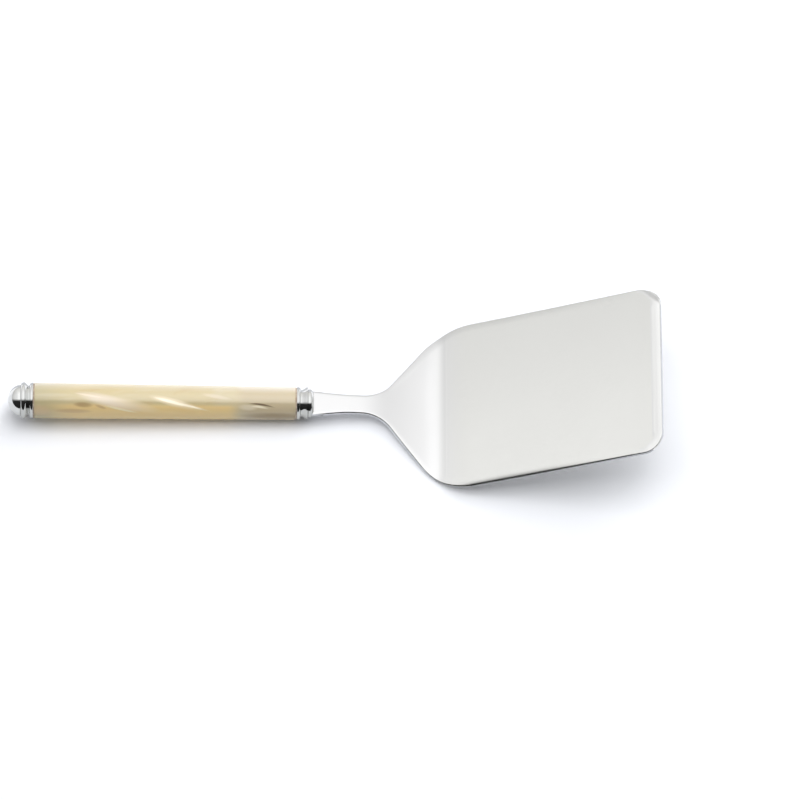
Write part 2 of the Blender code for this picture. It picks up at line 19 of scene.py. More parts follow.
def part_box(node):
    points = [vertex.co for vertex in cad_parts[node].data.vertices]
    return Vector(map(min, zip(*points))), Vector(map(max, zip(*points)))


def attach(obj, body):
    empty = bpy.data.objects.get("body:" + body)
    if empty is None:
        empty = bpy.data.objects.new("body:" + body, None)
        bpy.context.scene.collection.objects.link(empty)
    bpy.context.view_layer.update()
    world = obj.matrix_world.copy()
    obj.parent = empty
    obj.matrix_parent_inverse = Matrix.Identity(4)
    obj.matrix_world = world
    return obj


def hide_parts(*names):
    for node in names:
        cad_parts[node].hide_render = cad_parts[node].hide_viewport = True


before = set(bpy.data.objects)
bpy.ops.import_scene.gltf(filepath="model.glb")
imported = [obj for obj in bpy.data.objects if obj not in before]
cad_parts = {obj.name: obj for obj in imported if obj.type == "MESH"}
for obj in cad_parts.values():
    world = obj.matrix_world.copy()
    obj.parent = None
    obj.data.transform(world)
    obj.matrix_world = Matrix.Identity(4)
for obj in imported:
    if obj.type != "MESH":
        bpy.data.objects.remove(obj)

LOG = logging.getLogger("lasagna_server")
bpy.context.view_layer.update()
# Points of a turned piece that lie nearer than this are merged
MERGE = 0.000002
# Edges of a turned piece that turn by more than this stay sharp
CREASE = 32.0
Material = bpy.types.Material
NodeTree = bpy.types.NodeTree
Object = bpy.types.Object
Socket = bpy.types.NodeSocket
Point = tuple[float, float]
Pair = tuple[float, float]
Triple = tuple[float, float, float]
Range = tuple[float, float, float, float]


@dataclass(frozen=True)
class Tint:
    """A colour as it looks on a screen, from 0 to 255."""

    red: float
    green: float
    blue: float

    def linear(self, share: float = 1.0) -> Range:
        """Gives the colour, or a share of its light, as a shader socket takes it."""
        levels = (value / 255.0 for value in (self.red, self.green, self.blue))
        return (*(share * ((level + 0.055) / 1.055) ** 2.4 for level in levels), 1.0)


WHITE = Tint(255, 255, 255)


class Side(Enum):
    """Which way a collar's profile runs from the face that meets the sleeve."""

    REAR = -1
    FRONT = 1


class Fineness(Enum):
    """How many steps a round shape gets."""

    AROUND = 128
    HOLE = 32
    DOME = 26
    PROFILE = 10
    EDGE = 5


class Part(Enum):
    """What edit mode selects, with the name of its list in a mesh."""

    FACE = "polygons"
    EDGE = "edges"


def arc(centre: Point, radii: Pair, start: float, end: float, fineness: Fineness) -> list[Point]:
    """Works out points along part of an ellipse.

    Args:
        centre: Middle of the ellipse, as (station, radius).
        radii: Reach of the ellipse along each of the two.
        start: Angle of the first point, zero being along the station.
        end: Angle of the last point.
        fineness: How many steps the points make.

    Returns:
        The points, both ends among them.
    """
    points = []
    for step in range(fineness.value + 1):
        angle = math.radians(start + (end - start) * step / fineness.value)
        x = centre[0] + radii[0] * math.cos(angle)
        points.append((x, centre[1] + radii[1] * math.sin(angle)))
    return points


def tube(span: Pair, radii: Pair, bore: float, edge_round: float) -> list[Point]:
    """Works out the profile of a tube whose ends have a rounded outer edge.

    Args:
        span: First and last station.
        radii: Outer radius at each of them.
        bore: Inner radius.
        edge_round: Radius of the rounding.

    Returns:
        The profile, from the bore's rear end round to where it started.
    """
    edge = (edge_round, edge_round)
    rear = (span[0] + edge_round, radii[0] - edge_round)
    front = (span[1] - edge_round, radii[1] - edge_round)
    outside = arc(rear, edge, 180.0, 90.0, Fineness.EDGE) + arc(front, edge, 90.0, 0.0, Fineness.EDGE)
    return [(span[0], bore), *outside, (span[1], bore), (span[0], bore)]


def between(value: float, stops: list[float], levels: list[float]) -> float:
    """Reads a level off a line drawn through stops.

    Args:
        value: Where to read.
        stops: Rising places along the line.
        levels: The level at each of them.

    Returns:
        The level, held at its first or last value outside the stops.
    """
    if value <= stops[0]:
        return levels[0]
    for low, high, start, end in zip(stops, stops[1:], levels, levels[1:]):
        if value <= high:
            return start + (end - start) * (value - low) / (high - low)
    return levels[-1]


def object_mode() -> None:
    """Leaves edit mode."""
    bpy.ops.object.mode_set(mode="OBJECT")


def deselect_all() -> None:
    """Leaves nothing selected, so that the next operator acts on what it makes."""
    bpy.ops.object.select_all(action="DESELECT")


def take(obj: Object) -> None:
    """Makes one object the selected and active one.

    Args:
        obj: The object.
    """
    deselect_all()
    obj.select_set(True)
    bpy.context.view_layer.objects.active = obj


def named(name: str) -> Object:
    """Names the object that an operator has just added, and its mesh.

    Args:
        name: The name for both.

    Returns:
        The object.
    """
    obj = bpy.context.object
    obj.name = name
    obj.data.name = name
    return obj


def settle(obj: Object, place: Matrix | None = None) -> None:
    """Puts an object's place, turn and size into its mesh.

    Args:
        obj: The object to settle.
        place: A further placing to give it first.
    """
    take(obj)
    bpy.ops.object.transform_apply()
    if place is not None:
        obj.matrix_world = place
        bpy.ops.object.transform_apply()


def pick(obj: Object, part: Part, wanted: Callable[..., bool]) -> None:
    """Enters edit mode with only the wanted faces or edges selected.

    Args:
        obj: The object to edit.
        part: Whether faces or edges are picked.
        wanted: Tells of a face or an edge whether it is wanted.
    """
    take(obj)
    bpy.ops.object.mode_set(mode="EDIT")
    bpy.ops.mesh.select_mode(type=part.name)
    bpy.ops.mesh.select_all(action="DESELECT")
    object_mode()
    for item in getattr(obj.data, part.value):
        item.select = wanted(item)
    bpy.ops.object.mode_set(mode="EDIT")


def nearest_end(obj: Object, edge: bpy.types.MeshEdge) -> float:
    """Gives the lesser station of an edge's two ends."""
    return min(obj.data.vertices[index].co.x for index in edge.vertices)


def draw_out(step: Triple) -> None:
    """Extrudes what is selected by a step."""
    bpy.ops.mesh.extrude_region_move(TRANSFORM_OT_translate={"value": step})


def widen(ratios: Triple, pivot: Triple) -> None:
    """Sizes what is selected about a point."""
    bpy.ops.transform.resize(value=ratios, center_override=pivot)


def finish_modifiers(obj: Object) -> None:
    """Applies every modifier of an object in turn.

    Args:
        obj: The object.
    """
    take(obj)
    for modifier in list(obj.modifiers):
        bpy.ops.object.modifier_apply(modifier=modifier.name)


def shade(obj: Object, angle: float) -> None:
    """Shades an object smooth up to an angle between faces."""
    take(obj)
    bpy.ops.object.shade_smooth_by_angle(angle=math.radians(angle))


def face_outwards(obj: Object, merge: float) -> None:
    """Merges doubled points and turns every face outwards.

    Args:
        obj: The object.
        merge: How near to each other points are merged.
    """
    take(obj)
    bpy.ops.object.mode_set(mode="EDIT")
    bpy.ops.mesh.select_all(action="SELECT")
    bpy.ops.mesh.remove_doubles(threshold=merge)
    bpy.ops.mesh.normals_make_consistent(inside=False)
    object_mode()


def cut_away(obj: Object, cutter: Object) -> None:
    """Cuts one object's shape out of another and removes the cutter.

    Args:
        obj: The object that is cut.
        cutter: The object whose shape comes off.
    """
    modifier = obj.modifiers.new("cut", "BOOLEAN")
    modifier.operation = "DIFFERENCE"
    modifier.solver = "EXACT"
    modifier.object = cutter
    finish_modifiers(obj)
    bpy.data.objects.remove(cutter, do_unlink=True)


def turned(name: str, profile: list[Point], place: Matrix) -> Object:
    """Makes a turned piece by drawing a ring out from point to point of a profile.

    Args:
        name: Name of the piece.
        profile: (station, radius) points. It may end on the axis or come back to its start,
            and a ring that is left open is closed with a flat face.
        place: Matrix from the handle's stations to the frame.

    Returns:
        The closed, smooth-shaded piece.
    """
    deselect_all()
    station, radius = profile[0]
    bpy.ops.mesh.primitive_circle_add(
        vertices=Fineness.AROUND.value,
        radius=radius,
        fill_type="NOTHING",
        location=(station, 0.0, 0.0),
        rotation=(0.0, math.pi / 2, 0.0),
    )
    obj = named(name)
    settle(obj)
    pick(obj, Part.EDGE, lambda edge: True)
    for next_station, next_radius in profile[1:]:
        draw_out((next_station - station, 0.0, 0.0))
        if next_radius == 0.0:
            bpy.ops.mesh.merge(type="CENTER")
            break
        ratio = next_radius / radius
        widen((1.0, ratio, ratio), (next_station, 0.0, 0.0))
        station, radius = next_station, next_radius
    bpy.ops.mesh.select_all(action="SELECT")
    bpy.ops.mesh.remove_doubles(threshold=MERGE)
    bpy.ops.mesh.select_all(action="SELECT")
    bpy.ops.mesh.fill_holes(sides=0)
    object_mode()
    face_outwards(obj, MERGE)
    settle(obj, place)
    shade(obj, CREASE)
    return obj


def dress(obj: Object, *materials: Material) -> None:
    """Gives an object its materials in place of those it has.

    Args:
        obj: The object.
        materials: The materials, in the order of its faces' indices.
    """
    obj.data.materials.clear()
    for material in materials:
        obj.data.materials.append(material)


def enter(obj: Object, node: str, slot: str, *materials: Material) -> Object:
    """Dresses a finished piece and enters it in place of its solid.

    Args:
        obj: The piece.
        node: Name of the solid that it stands for.
        slot: Name of its main finish. It is not used.
        materials: Its materials.

    Returns:
        The piece.
    """
    indices = [polygon.material_index for polygon in obj.data.polygons]
    dress(obj, *materials)
    obj.data.polygons.foreach_set("material_index", indices)
    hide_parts(node)
    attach(obj, "root")
    return obj


@dataclass(frozen=True)
class HandleAxis:
    """The line that the handle's pieces are turned about, with the finial's nose at zero."""

    rear_seal_station: float = 0.01185

    def placing(self) -> Matrix:
        """Works out where the handle lies from the middles of the two seals' boxes.

        Returns:
            The matrix from stations along the handle to the frame.
        """
        rear, front = (sum(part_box(node), Vector()) / 2 for node in ("rear_seal", "front_seal"))
        along = (front - rear).normalized()
        across = Vector((0.0, 1.0, 0.0))
        nose = rear - along * self.rear_seal_station
        turn = Matrix((along, across, along.cross(across))).transposed().to_4x4()
        return Matrix.Translation(nose) @ turn


class Wiring:
    """Adds nodes to one node tree and joins them.

    A source is another node's output, a tint or a plain value.
    """

    def __init__(self, tree: NodeTree) -> None:
        """Starts on a tree."""
        self.tree = tree

    def feed(self, source: object, socket: Socket) -> None:
        """Joins an output to a socket, or sets the socket to a tint or a plain value.

        Args:
            source: The output, tint or value.
            socket: The input that takes it.
        """
        if isinstance(source, Socket):
            self.tree.links.new(source, socket)
        else:
            socket.default_value = source.linear() if isinstance(source, Tint) else source

    def fill(self, node: bpy.types.Node, **sources: object) -> None:
        """Feeds a node's inputs by name, spaces written as underscores."""
        for key, source in sources.items():
            self.feed(source, node.inputs[key.replace("_", " ")])

    def add(self, kind: str, *sources: object, **settings: object) -> bpy.types.Node:
        """Adds a node, sets its properties and feeds its first inputs in order.

        Args:
            kind: The node's type, without the words that every shader node's has.
            sources: What its first inputs take.
            settings: Its properties.

        Returns:
            The node.
        """
        node = self.tree.nodes.new("ShaderNode" + kind)
        for key, value in settings.items():
            setattr(node, key, value)
        for socket, source in zip(node.inputs, sources):
            self.feed(source, socket)
        return node

    def maths(self, operation: str, first: object, second: object = 0.0) -> Socket:
        """Adds a Math node and gives its output."""
        return self.add("Math", first, second, operation=operation).outputs[0]

    def times(self, first: object, second: object) -> Socket:
        """Multiplies two values."""
        return self.maths("MULTIPLY", first, second)

    def spread(
        self, value: object, low: object, high: object, bottom: float = 0.0, top: float = 1.0
    ) -> Socket:
        """Maps a value from one range to another along a smooth step.

        Args:
            value: The value to map.
            low: Where the step starts.
            high: Where it ends.
            bottom: What it gives at the start and before it.
            top: What it gives at the end and after it.

        Returns:
            The mapped value.
        """
        sources = (value, low, high, bottom, top)
        return self.add("MapRange", *sources, interpolation_type="SMOOTHSTEP").outputs[0]

    def spread_turn(self, turn: Socket, turns: Pair, levels: Pair = (0.0, 1.0)) -> Socket:
        """Maps a turn in radians between two turns in degrees."""
        return self.spread(turn, *(math.radians(stop) for stop in turns), *levels)

    def mix(self, share: object, first: object, second: object) -> Socket:
        """Mixes two colours.

        Args:
            share: The share of the second.
            first: The first colour.
            second: The second colour.

        Returns:
            The mixed colour.
        """
        node = self.add("Mix", share, data_type="RGBA")
        self.feed(first, node.inputs[6])
        self.feed(second, node.inputs[7])
        return node.outputs[2]

    def noise(self, vector: object, scale: object, detail: float) -> Socket:
        """Adds a noise texture.

        Args:
            vector: The point it is read at.
            scale: How close its clouds are.
            detail: How many finer layers it has.

        Returns:
            Its value.
        """
        node = self.add("TexNoise")
        self.fill(node, Vector=vector, Scale=scale, Detail=detail)
        return node.outputs["Fac"]

    def group(self, tree: NodeTree, **sources: object) -> Socket:
        """Places a node group.

        Args:
            tree: The group.
            sources: What its inputs take, by name, spaces written as underscores.

        Returns:
            Its one output.
        """
        node = self.add("Group", node_tree=tree)
        self.fill(node, **sources)
        return node.outputs[0]

    def apart(self, vector: object) -> tuple[Socket, ...]:
        """Takes a vector apart into its three parts."""
        return tuple(self.add("SeparateXYZ", vector).outputs)

    def position(self) -> Socket:
        """Gives the point in object coordinates."""
        return self.add("TexCoord").outputs["Object"]

    def handle_coordinates(self, frame_to_handle: Matrix) -> tuple[Socket, Socket, Socket]:
        """Turns the point into the handle's own coordinates.

        Args:
            frame_to_handle: Matrix from the frame to the handle's stations.

        Returns:
            The point itself, its station, and its turn in radians from the handle's top
            towards the camera's side.
        """
        turn = tuple(frame_to_handle.to_euler())
        place = tuple(frame_to_handle.translation)
        point = self.add("Mapping", self.position(), place, turn).outputs[0]
        station, across, up = self.apart(point)
        return point, station, self.maths("ARCTAN2", self.times(across, -1.0), up)


def new_group(
    name: str, inputs: tuple[str, ...], output: str
) -> tuple[Wiring, bpy.types.NodeOutputs, bpy.types.Node]:
    """Makes an empty node group, whose input called Point is a vector and the others numbers.

    Args:
        name: Name of the group.
        inputs: Names of its inputs.
        output: Name of its one output, a number.

    Returns:
        The group's wiring, what its inputs give, and its output node.
    """
    tree = bpy.data.node_groups.new(name, "ShaderNodeTree")
    for label in inputs:
        kind = "NodeSocketVector" if label == "Point" else "NodeSocketFloat"
        tree.interface.new_socket(label, in_out="INPUT", socket_type=kind)
    tree.interface.new_socket(output, in_out="OUTPUT", socket_type="NodeSocketFloat")
    given = tree.nodes.new("NodeGroupInput").outputs
    return Wiring(tree), given, tree.nodes.new("NodeGroupOutput")


def brushed_grain() -> NodeTree:
    """Builds fine lines that run along X, as polishing leaves them.

    Returns:
        The group.
    """
    wiring, given, result = new_group("brushed_grain", ("Point", "Along", "Across"), "Height")
    stretch = wiring.add("CombineXYZ", given["Along"], given["Across"], given["Across"])
    product = wiring.add("VectorMath", given["Point"], stretch.outputs[0], operation="MULTIPLY")
    wiring.fill(result, Height=wiring.noise(product.outputs[0], scale=1.0, detail=4.0))
    return wiring.tree


def soft_haze() -> NodeTree:
    """Builds cloudy patches, as handling and washing leave them.

    Returns:
        The group.
    """
    wiring, given, result = new_group("soft_haze", ("Point", "Size"), "Mask")
    scale = wiring.maths("DIVIDE", 1.0, given["Size"])
    cloud = wiring.noise(given["Point"], scale, detail=5.0)
    wiring.fill(result, Mask=wiring.spread(cloud, low=0.38, high=0.68))
    return wiring.tree


def slanted_streak() -> NodeTree:
    """Builds one soft streak on a round surface, from stations along and lengths round.

    Returns:
        The group.
    """
    names = ("Along", "Round", "At", "Turned To", "Half Length", "Half Width", "Slant", "Bow")
    wiring, given, result = new_group("slanted_streak", names, "Mask")
    along = wiring.maths("SUBTRACT", given["Along"], given["At"])
    share = wiring.maths("DIVIDE", along, given["Half Length"])
    squared = wiring.times(share, share)
    off = wiring.maths("SUBTRACT", given["Round"], given["Turned To"])
    off = wiring.maths("SUBTRACT", off, wiring.times(along, given["Slant"]))
    off = wiring.maths("SUBTRACT", off, wiring.times(squared, given["Bow"]))
    width = wiring.maths("DIVIDE", off, given["Half Width"])
    reach = wiring.maths("ADD", squared, wiring.times(width, width))
    wiring.fill(result, Mask=wiring.spread(reach, low=1.0, high=0.0))
    return wiring.tree


@dataclass
class SurfaceGroups:
    """The node groups that the finishes share."""

    grain: NodeTree = field(default_factory=brushed_grain)
    haze: NodeTree = field(default_factory=soft_haze)
    streak: NodeTree = field(default_factory=slanted_streak)


def new_material(name: str) -> tuple[Material, Wiring, bpy.types.Node]:
    """Makes a material with one Principled shader.

    Args:
        name: Name of the material.

    Returns:
        The material, its wiring and its shader.
    """
    material = bpy.data.materials.new(name)
    material.use_nodes = True
    return material, Wiring(material.node_tree), material.node_tree.nodes["Principled BSDF"]


@dataclass(frozen=True)
class PolishedSteel:
    """Stainless steel with the faint lines of its last polish."""

    name: str
    groups: SurfaceGroups
    tint: Tint = Tint(231, 231, 228)
    smooth: float = 0.20
    dull: float = 0.26
    line_share: float = 0.985
    line_reach: Pair = (0.35, 0.65)
    line_height: float = 0.0000008
    lines_along: float = 45.0
    lines_across: float = 1400.0
    haze_size: float = 0.035
    crown: float = 0.0
    wave: float = 0.0
    wave_scale: float = 14.0
    # A tint painted over the neck, standing in for its reflection there
    neck_painted_reflection: Tint | None = None
    neck_painted_reflection_span: Range = (0.060, 0.042, 0.0, 0.8)

    def material(self) -> Material:
        """Builds the steel, with a painted reflection tint at the neck where it has one.

        Returns:
            The material.
        """
        material, wiring, shader = new_material(self.name)
        point = wiring.position()
        x, y, _ = wiring.apart(point)
        lines = {"Along": self.lines_along, "Across": self.lines_across}
        grain = wiring.group(self.groups.grain, Point=point, **lines)
        haze = wiring.group(self.groups.haze, Point=point, Size=self.haze_size)
        darker = self.tint.linear(self.line_share)
        colour = wiring.mix(wiring.spread(grain, *self.line_reach), darker, self.tint)
        # Painted reflection tint at the neck
        if self.neck_painted_reflection:
            colour = wiring.mix(wiring.spread(x, *self.neck_painted_reflection_span), colour, self.neck_painted_reflection)
        crown = wiring.times(wiring.times(y, y), -self.crown)
        wave = wiring.times(wiring.noise(point, self.wave_scale, detail=1.0), self.wave)
        height = wiring.maths("ADD", crown, wave)
        height = wiring.maths("ADD", wiring.times(grain, self.line_height), height)
        bump = wiring.add("Bump")
        wiring.fill(bump, Strength=1.0, Distance=1.0, Height=height)
        rough = wiring.spread(haze, 0.0, 1.0, self.smooth, self.dull)
        normal = bump.outputs[0]
        wiring.fill(shader, Base_Color=colour, Roughness=rough, Metallic=1.0, Normal=normal)
        return material


@dataclass(frozen=True)
class Chrome:
    """Mirror-bright plating with a little haze and fine turning lines.

    Painted reflections go by the turn from the handle's top. The lowest, a painted darker floor
    reflection, is weaker on the dome.
    """

    groups: SurfaceGroups
    place: Matrix
    tint: Tint = Tint(219, 220, 219)
    # Painted highlight near the top, then painted darker reflection towards the far side
    painted_reflection_bands: tuple[tuple[Tint, Pair], ...] = (
        (Tint(236, 236, 233), (6.0, -20.0)),
        (Tint(176, 177, 177), (-27.0, -36.0)),
    )
    # Painted darker floor reflection on the lower side, weaker on the dome
    painted_low_reflection: Tint = Tint(186, 187, 184)
    painted_low_reflection_turn: Pair = (34.0, 50.0)
    dome_foot: Range = (0.0046, 0.0060, 0.35, 1.0)
    clear: float = 0.035
    dull: float = 0.09
    haze_size: float = 0.006
    line_share: float = 0.97
    lines_along: float = 30000.0
    lines_across: float = 150.0

    def material(self) -> Material:
        """Builds the chrome.

        Returns:
            The material.
        """
        material, wiring, shader = new_material("chrome")
        point = wiring.position()
        haze = wiring.group(self.groups.haze, Point=point, Size=self.haze_size)
        lines = {"Along": self.lines_along, "Across": self.lines_across}
        grain = wiring.group(self.groups.grain, Point=point, **lines)
        colour = wiring.mix(grain, self.tint.linear(self.line_share), self.tint)
        _, station, turn = wiring.handle_coordinates(self.place.inverted())
        # Paints the reflection bands by turn, then the darker floor reflection below
        for tone, turns in self.painted_reflection_bands:
            colour = wiring.mix(wiring.spread_turn(turn, turns), colour, tone)
        behind = wiring.spread(station, *self.dome_foot)
        share = wiring.times(wiring.spread_turn(turn, self.painted_low_reflection_turn), behind)
        colour = wiring.mix(share, colour, self.painted_low_reflection)
        rough = wiring.spread(haze, 0.0, 1.0, self.clear, self.dull)
        wiring.fill(shader, Base_Color=colour, Roughness=rough, Metallic=1.0)
        return material


@dataclass(frozen=True)
class Streak:
    """One streak of pigment in the resin.

    The turn is in degrees from the handle's top towards the camera's side. The pearl is
    the streak's share of flakes, which lie flat and so mirror the light from above.
    """

    station: float
    turn: float
    half_length: float
    half_width: float
    slant: float
    bow: float
    tint: Tint
    strength: float
    pearl: float = 0.0


@dataclass(frozen=True)
class PearlResin:
    """Pearlised ivory resin: drawn-out clouds of pigment under a clear polish."""

    groups: SurfaceGroups
    place: Matrix
    mean_radius: float = 0.0075
    honey: Tint = Tint(214, 193, 134)
    cream: Tint = Tint(216, 202, 165)
    tan: Tint = Tint(200, 170, 114)
    pale: Tint = Tint(238, 228, 204)
    moss: Tint = Tint(190, 180, 142)
    stone: Tint = Tint(206, 190, 158)
    # Painted light: a warm amber on the lower side, between the rear and the front
    painted_amber_light: Tint = Tint(248, 218, 154)
    # Painted highlight: a pale band along the far upper edge
    painted_far_highlight: Tint = Tint(240, 230, 214)
    cloud_scale: float = 62.5
    cloud_stretch: Triple = (0.22, 1.0, 1.0)
    fine_share: float = 5.0
    twist: float = 14.0
    cream_clouds: Range = (0.36, 0.64, 0.0, 0.7)
    cream_span: Pair = (0.082, 0.094)
    pale_clouds: Range = (0.50, 0.85, 0.0, 0.35)
    tan_clouds: Range = (0.45, 0.25, 0.0, 0.45)
    rear_stray: float = 0.012
    front_stray: float = 0.008
    moss_span: Range = (0.040, 0.016, 0.0, 0.85)
    stone_span: Range = (0.1052, 0.1112, 0.0, 0.85)
    # Where the painted amber light lies, by station and turn, and how strong it is
    painted_amber_rear: Pair = (0.020, 0.040)
    painted_amber_front: Pair = (0.1082, 0.1015)
    painted_amber_turn: Pair = (30.0, 46.0)
    painted_amber_levels: Pair = (0.0, 0.90)
    # Where the painted highlight along the far upper edge lies, and how strong it is
    painted_far_highlight_turn: Pair = (-4.0, -34.0)
    painted_far_highlight_share: Pair = (0.40, 0.70)
    coat_turn: Pair = (28.0, 42.0)
    coat: Pair = (0.60, 0.05)
    coat_rough: float = 0.10
    coat_index: float = 2.1
    rough: float = 0.29
    glow_weight: float = 0.12
    glow_radius: Triple = (1.0, 0.7, 0.4)
    glow_scale: float = 0.0015
    flake_metal: float = 0.6
    flake_lift: float = 2.4
    streaks: tuple[Streak, ...] = (
        Streak(0.0455, 28.5, 0.0170, 0.0032, 0.23, 0.0, Tint(238, 224, 206), 0.75, 0.20),
        Streak(0.0362, 8.5, 0.0074, 0.0006, 0.16, 0.0, Tint(248, 232, 210), 0.70, 0.16),
        Streak(0.0502, 54.0, 0.0084, 0.0007, 0.23, 0.0, Tint(255, 242, 206), 1.00),
        Streak(0.0570, 42.0, 0.0120, 0.0028, 0.24, 0.0, Tint(248, 230, 194), 0.55, 0.10),
        Streak(0.0722, 26.5, 0.0086, 0.0009, 0.25, 0.0, Tint(255, 250, 240), 1.00, 0.90),
        Streak(0.0795, 39.0, 0.0112, 0.0007, 0.25, 0.0, Tint(250, 240, 218), 0.85, 0.50),
        Streak(0.0740, 30.0, 0.0130, 0.0022, 0.25, 0.0, Tint(246, 232, 204), 0.60, 0.25),
        Streak(0.0209, 8.5, 0.0110, 0.0010, 0.00, 0.0, Tint(232, 222, 198), 0.20),
        Streak(0.0334, 39.5, 0.0050, 0.0014, 0.05, 0.0, Tint(166, 134, 96), 0.65),
        Streak(0.0412, 46.0, 0.0030, 0.0008, 0.30, 0.0, Tint(190, 158, 122), 0.60),
        Streak(0.0140, 62.0, 0.0062, 0.0034, 0.02, 0.0, Tint(228, 200, 160), 0.60),
        Streak(0.0290, 62.0, 0.0100, 0.0014, 0.02, 0.0, Tint(196, 162, 122), 0.50),
        Streak(0.0925, 7.0, 0.0078, 0.0012, 0.18, 0.0, Tint(240, 226, 206), 0.45),
        Streak(0.1062, 44.0, 0.0050, 0.0018, 0.06, 0.0, Tint(230, 218, 192), 0.75, 0.15),
        Streak(0.1124, 33.0, 0.0066, 0.0006, 0.15, 0.0006, Tint(112, 96, 74), 0.90),
        Streak(0.1114, 41.0, 0.0046, 0.0007, 0.13, 0.0005, Tint(242, 232, 208), 0.90, 0.25),
        Streak(0.1190, 82.0, 0.0170, 0.0030, 0.02, 0.0, Tint(158, 136, 98), 0.75),
    )

    def material(self) -> Material:
        """Builds the resin.

        Returns:
            The material.
        """
        material, wiring, shader = new_material("pearl_resin")
        point, station, turn = wiring.handle_coordinates(self.place.inverted())
        colour = self.clouds(wiring, point, station, turn)
        colour, flakes = self.lay_streaks(wiring, station, turn, colour)
        wiring.fill(
            shader,
            Base_Color=colour,
            Metallic=wiring.times(flakes, self.flake_metal),
            Roughness=self.rough,
            Normal=self.flake_normal(wiring, flakes),
            Coat_Weight=wiring.spread_turn(turn, self.coat_turn, self.coat),
            Coat_Roughness=self.coat_rough,
            Coat_IOR=self.coat_index,
            Subsurface_Weight=self.glow_weight,
            Subsurface_Radius=self.glow_radius,
            Subsurface_Scale=self.glow_scale,
        )
        return material

    def lay_streaks(
        self, wiring: Wiring, station: Socket, turn: Socket, colour: Socket
    ) -> tuple[Socket, Socket]:
        """Lays the streaks over the clouds.

        Args:
            wiring: The material's wiring.
            station: The point's station along the handle.
            turn: Its turn from the handle's top.
            colour: The clouds' colour.

        Returns:
            The colour with the streaks, and the share of flakes.
        """
        length_round = wiring.times(turn, self.mean_radius)
        flakes = 0.0
        for streak in self.streaks:
            mask = wiring.group(
                self.groups.streak,
                Along=station,
                Round=length_round,
                At=streak.station,
                Turned_To=math.radians(streak.turn) * self.mean_radius,
                Half_Length=streak.half_length,
                Half_Width=streak.half_width,
                Slant=streak.slant,
                Bow=streak.bow,
            )
            colour = wiring.mix(wiring.times(mask, streak.strength), colour, streak.tint)
            if streak.pearl:
                flakes = wiring.maths("MAXIMUM", flakes, wiring.times(mask, streak.pearl))
        return colour, flakes

    def flake_normal(self, wiring: Wiring, flakes: Socket) -> Socket:
        """Turns the normal upwards where flakes lie.

        Args:
            wiring: The material's wiring.
            flakes: The share of flakes.

        Returns:
            The normal.
        """
        lift = wiring.add("CombineXYZ", 0.0, 0.0, wiring.times(flakes, self.flake_lift)).outputs[0]
        plain = wiring.add("NewGeometry").outputs["Normal"]
        raised = wiring.add("VectorMath", plain, lift, operation="ADD").outputs[0]
        return wiring.add("VectorMath", raised, operation="NORMALIZE").outputs[0]

    def clouds(self, wiring: Wiring, point: Socket, station: Socket, turn: Socket) -> Socket:
        """Builds the resin's ground colour, with painted light in amber on the lower side and a
        painted highlight along the far upper edge.

        Args:
            wiring: The material's wiring.
            point: The point in the handle's coordinates.
            station: Its station along the handle.
            turn: Its turn from the handle's top.

        Returns:
            The colour before the streaks.
        """
        axis = wiring.add("VectorRotate", rotation_type="X_AXIS")
        wiring.fill(axis, Vector=point, Angle=wiring.times(station, self.twist))
        drawn = wiring.add("Mapping", axis.outputs[0])
        wiring.fill(drawn, Scale=self.cloud_stretch)
        broad = wiring.noise(drawn.outputs[0], self.cloud_scale, detail=2.0)
        fine_scale = self.fine_share * self.cloud_scale
        fine = wiring.noise(drawn.outputs[0], fine_scale, detail=3.0)
        share = wiring.spread(broad, *self.cream_clouds)
        share = wiring.maths("MAXIMUM", share, wiring.spread(station, *self.cream_span))
        colour = wiring.mix(share, self.honey, self.cream)
        colour = wiring.mix(wiring.spread(fine, *self.pale_clouds), colour, self.pale)
        colour = wiring.mix(wiring.spread(fine, *self.tan_clouds), colour, self.tan)
        rear = wiring.maths("ADD", station, wiring.times(broad, self.rear_stray))
        colour = wiring.mix(wiring.spread(rear, *self.moss_span), colour, self.moss)
        front = wiring.maths("ADD", station, wiring.times(broad, self.front_stray))
        stone = wiring.spread(front, *self.stone_span)
        colour = wiring.mix(stone, colour, self.stone)
        # Painted light in amber on the lower side, by turn
        rear = wiring.spread(rear, *self.painted_amber_rear)
        span = wiring.times(rear, wiring.spread(front, *self.painted_amber_front))
        below = wiring.spread_turn(turn, self.painted_amber_turn, self.painted_amber_levels)
        colour = wiring.mix(wiring.times(span, below), colour, self.painted_amber_light)
        # Painted highlight along the far upper edge, stronger towards the front
        share = wiring.spread(stone, 0.0, self.stone_span[3], *self.painted_far_highlight_share)
        far = wiring.times(share, wiring.spread_turn(turn, self.painted_far_highlight_turn))
        return wiring.mix(far, colour, self.painted_far_highlight)


@dataclass(frozen=True)
class SealRubber:
    """The dull, pale brown stuff of the two thin rings."""

    groups: SurfaceGroups
    light: Tint = Tint(215, 198, 180)
    dark: Tint = Tint(181, 161, 143)
    haze_size: float = 0.002
    rough: Pair = (0.5, 0.7)

    def material(self) -> Material:
        """Builds the rubber.

        Returns:
            The material.
        """
        material, wiring, shader = new_material("seal_rubber")
        haze = wiring.group(self.groups.haze, Point=wiring.position(), Size=self.haze_size)
        colour = wiring.mix(haze, self.dark, self.light)
        rough = wiring.spread(haze, 0.0, 1.0, *self.rough)
        wiring.fill(shader, Base_Color=colour, Roughness=rough)
        return material


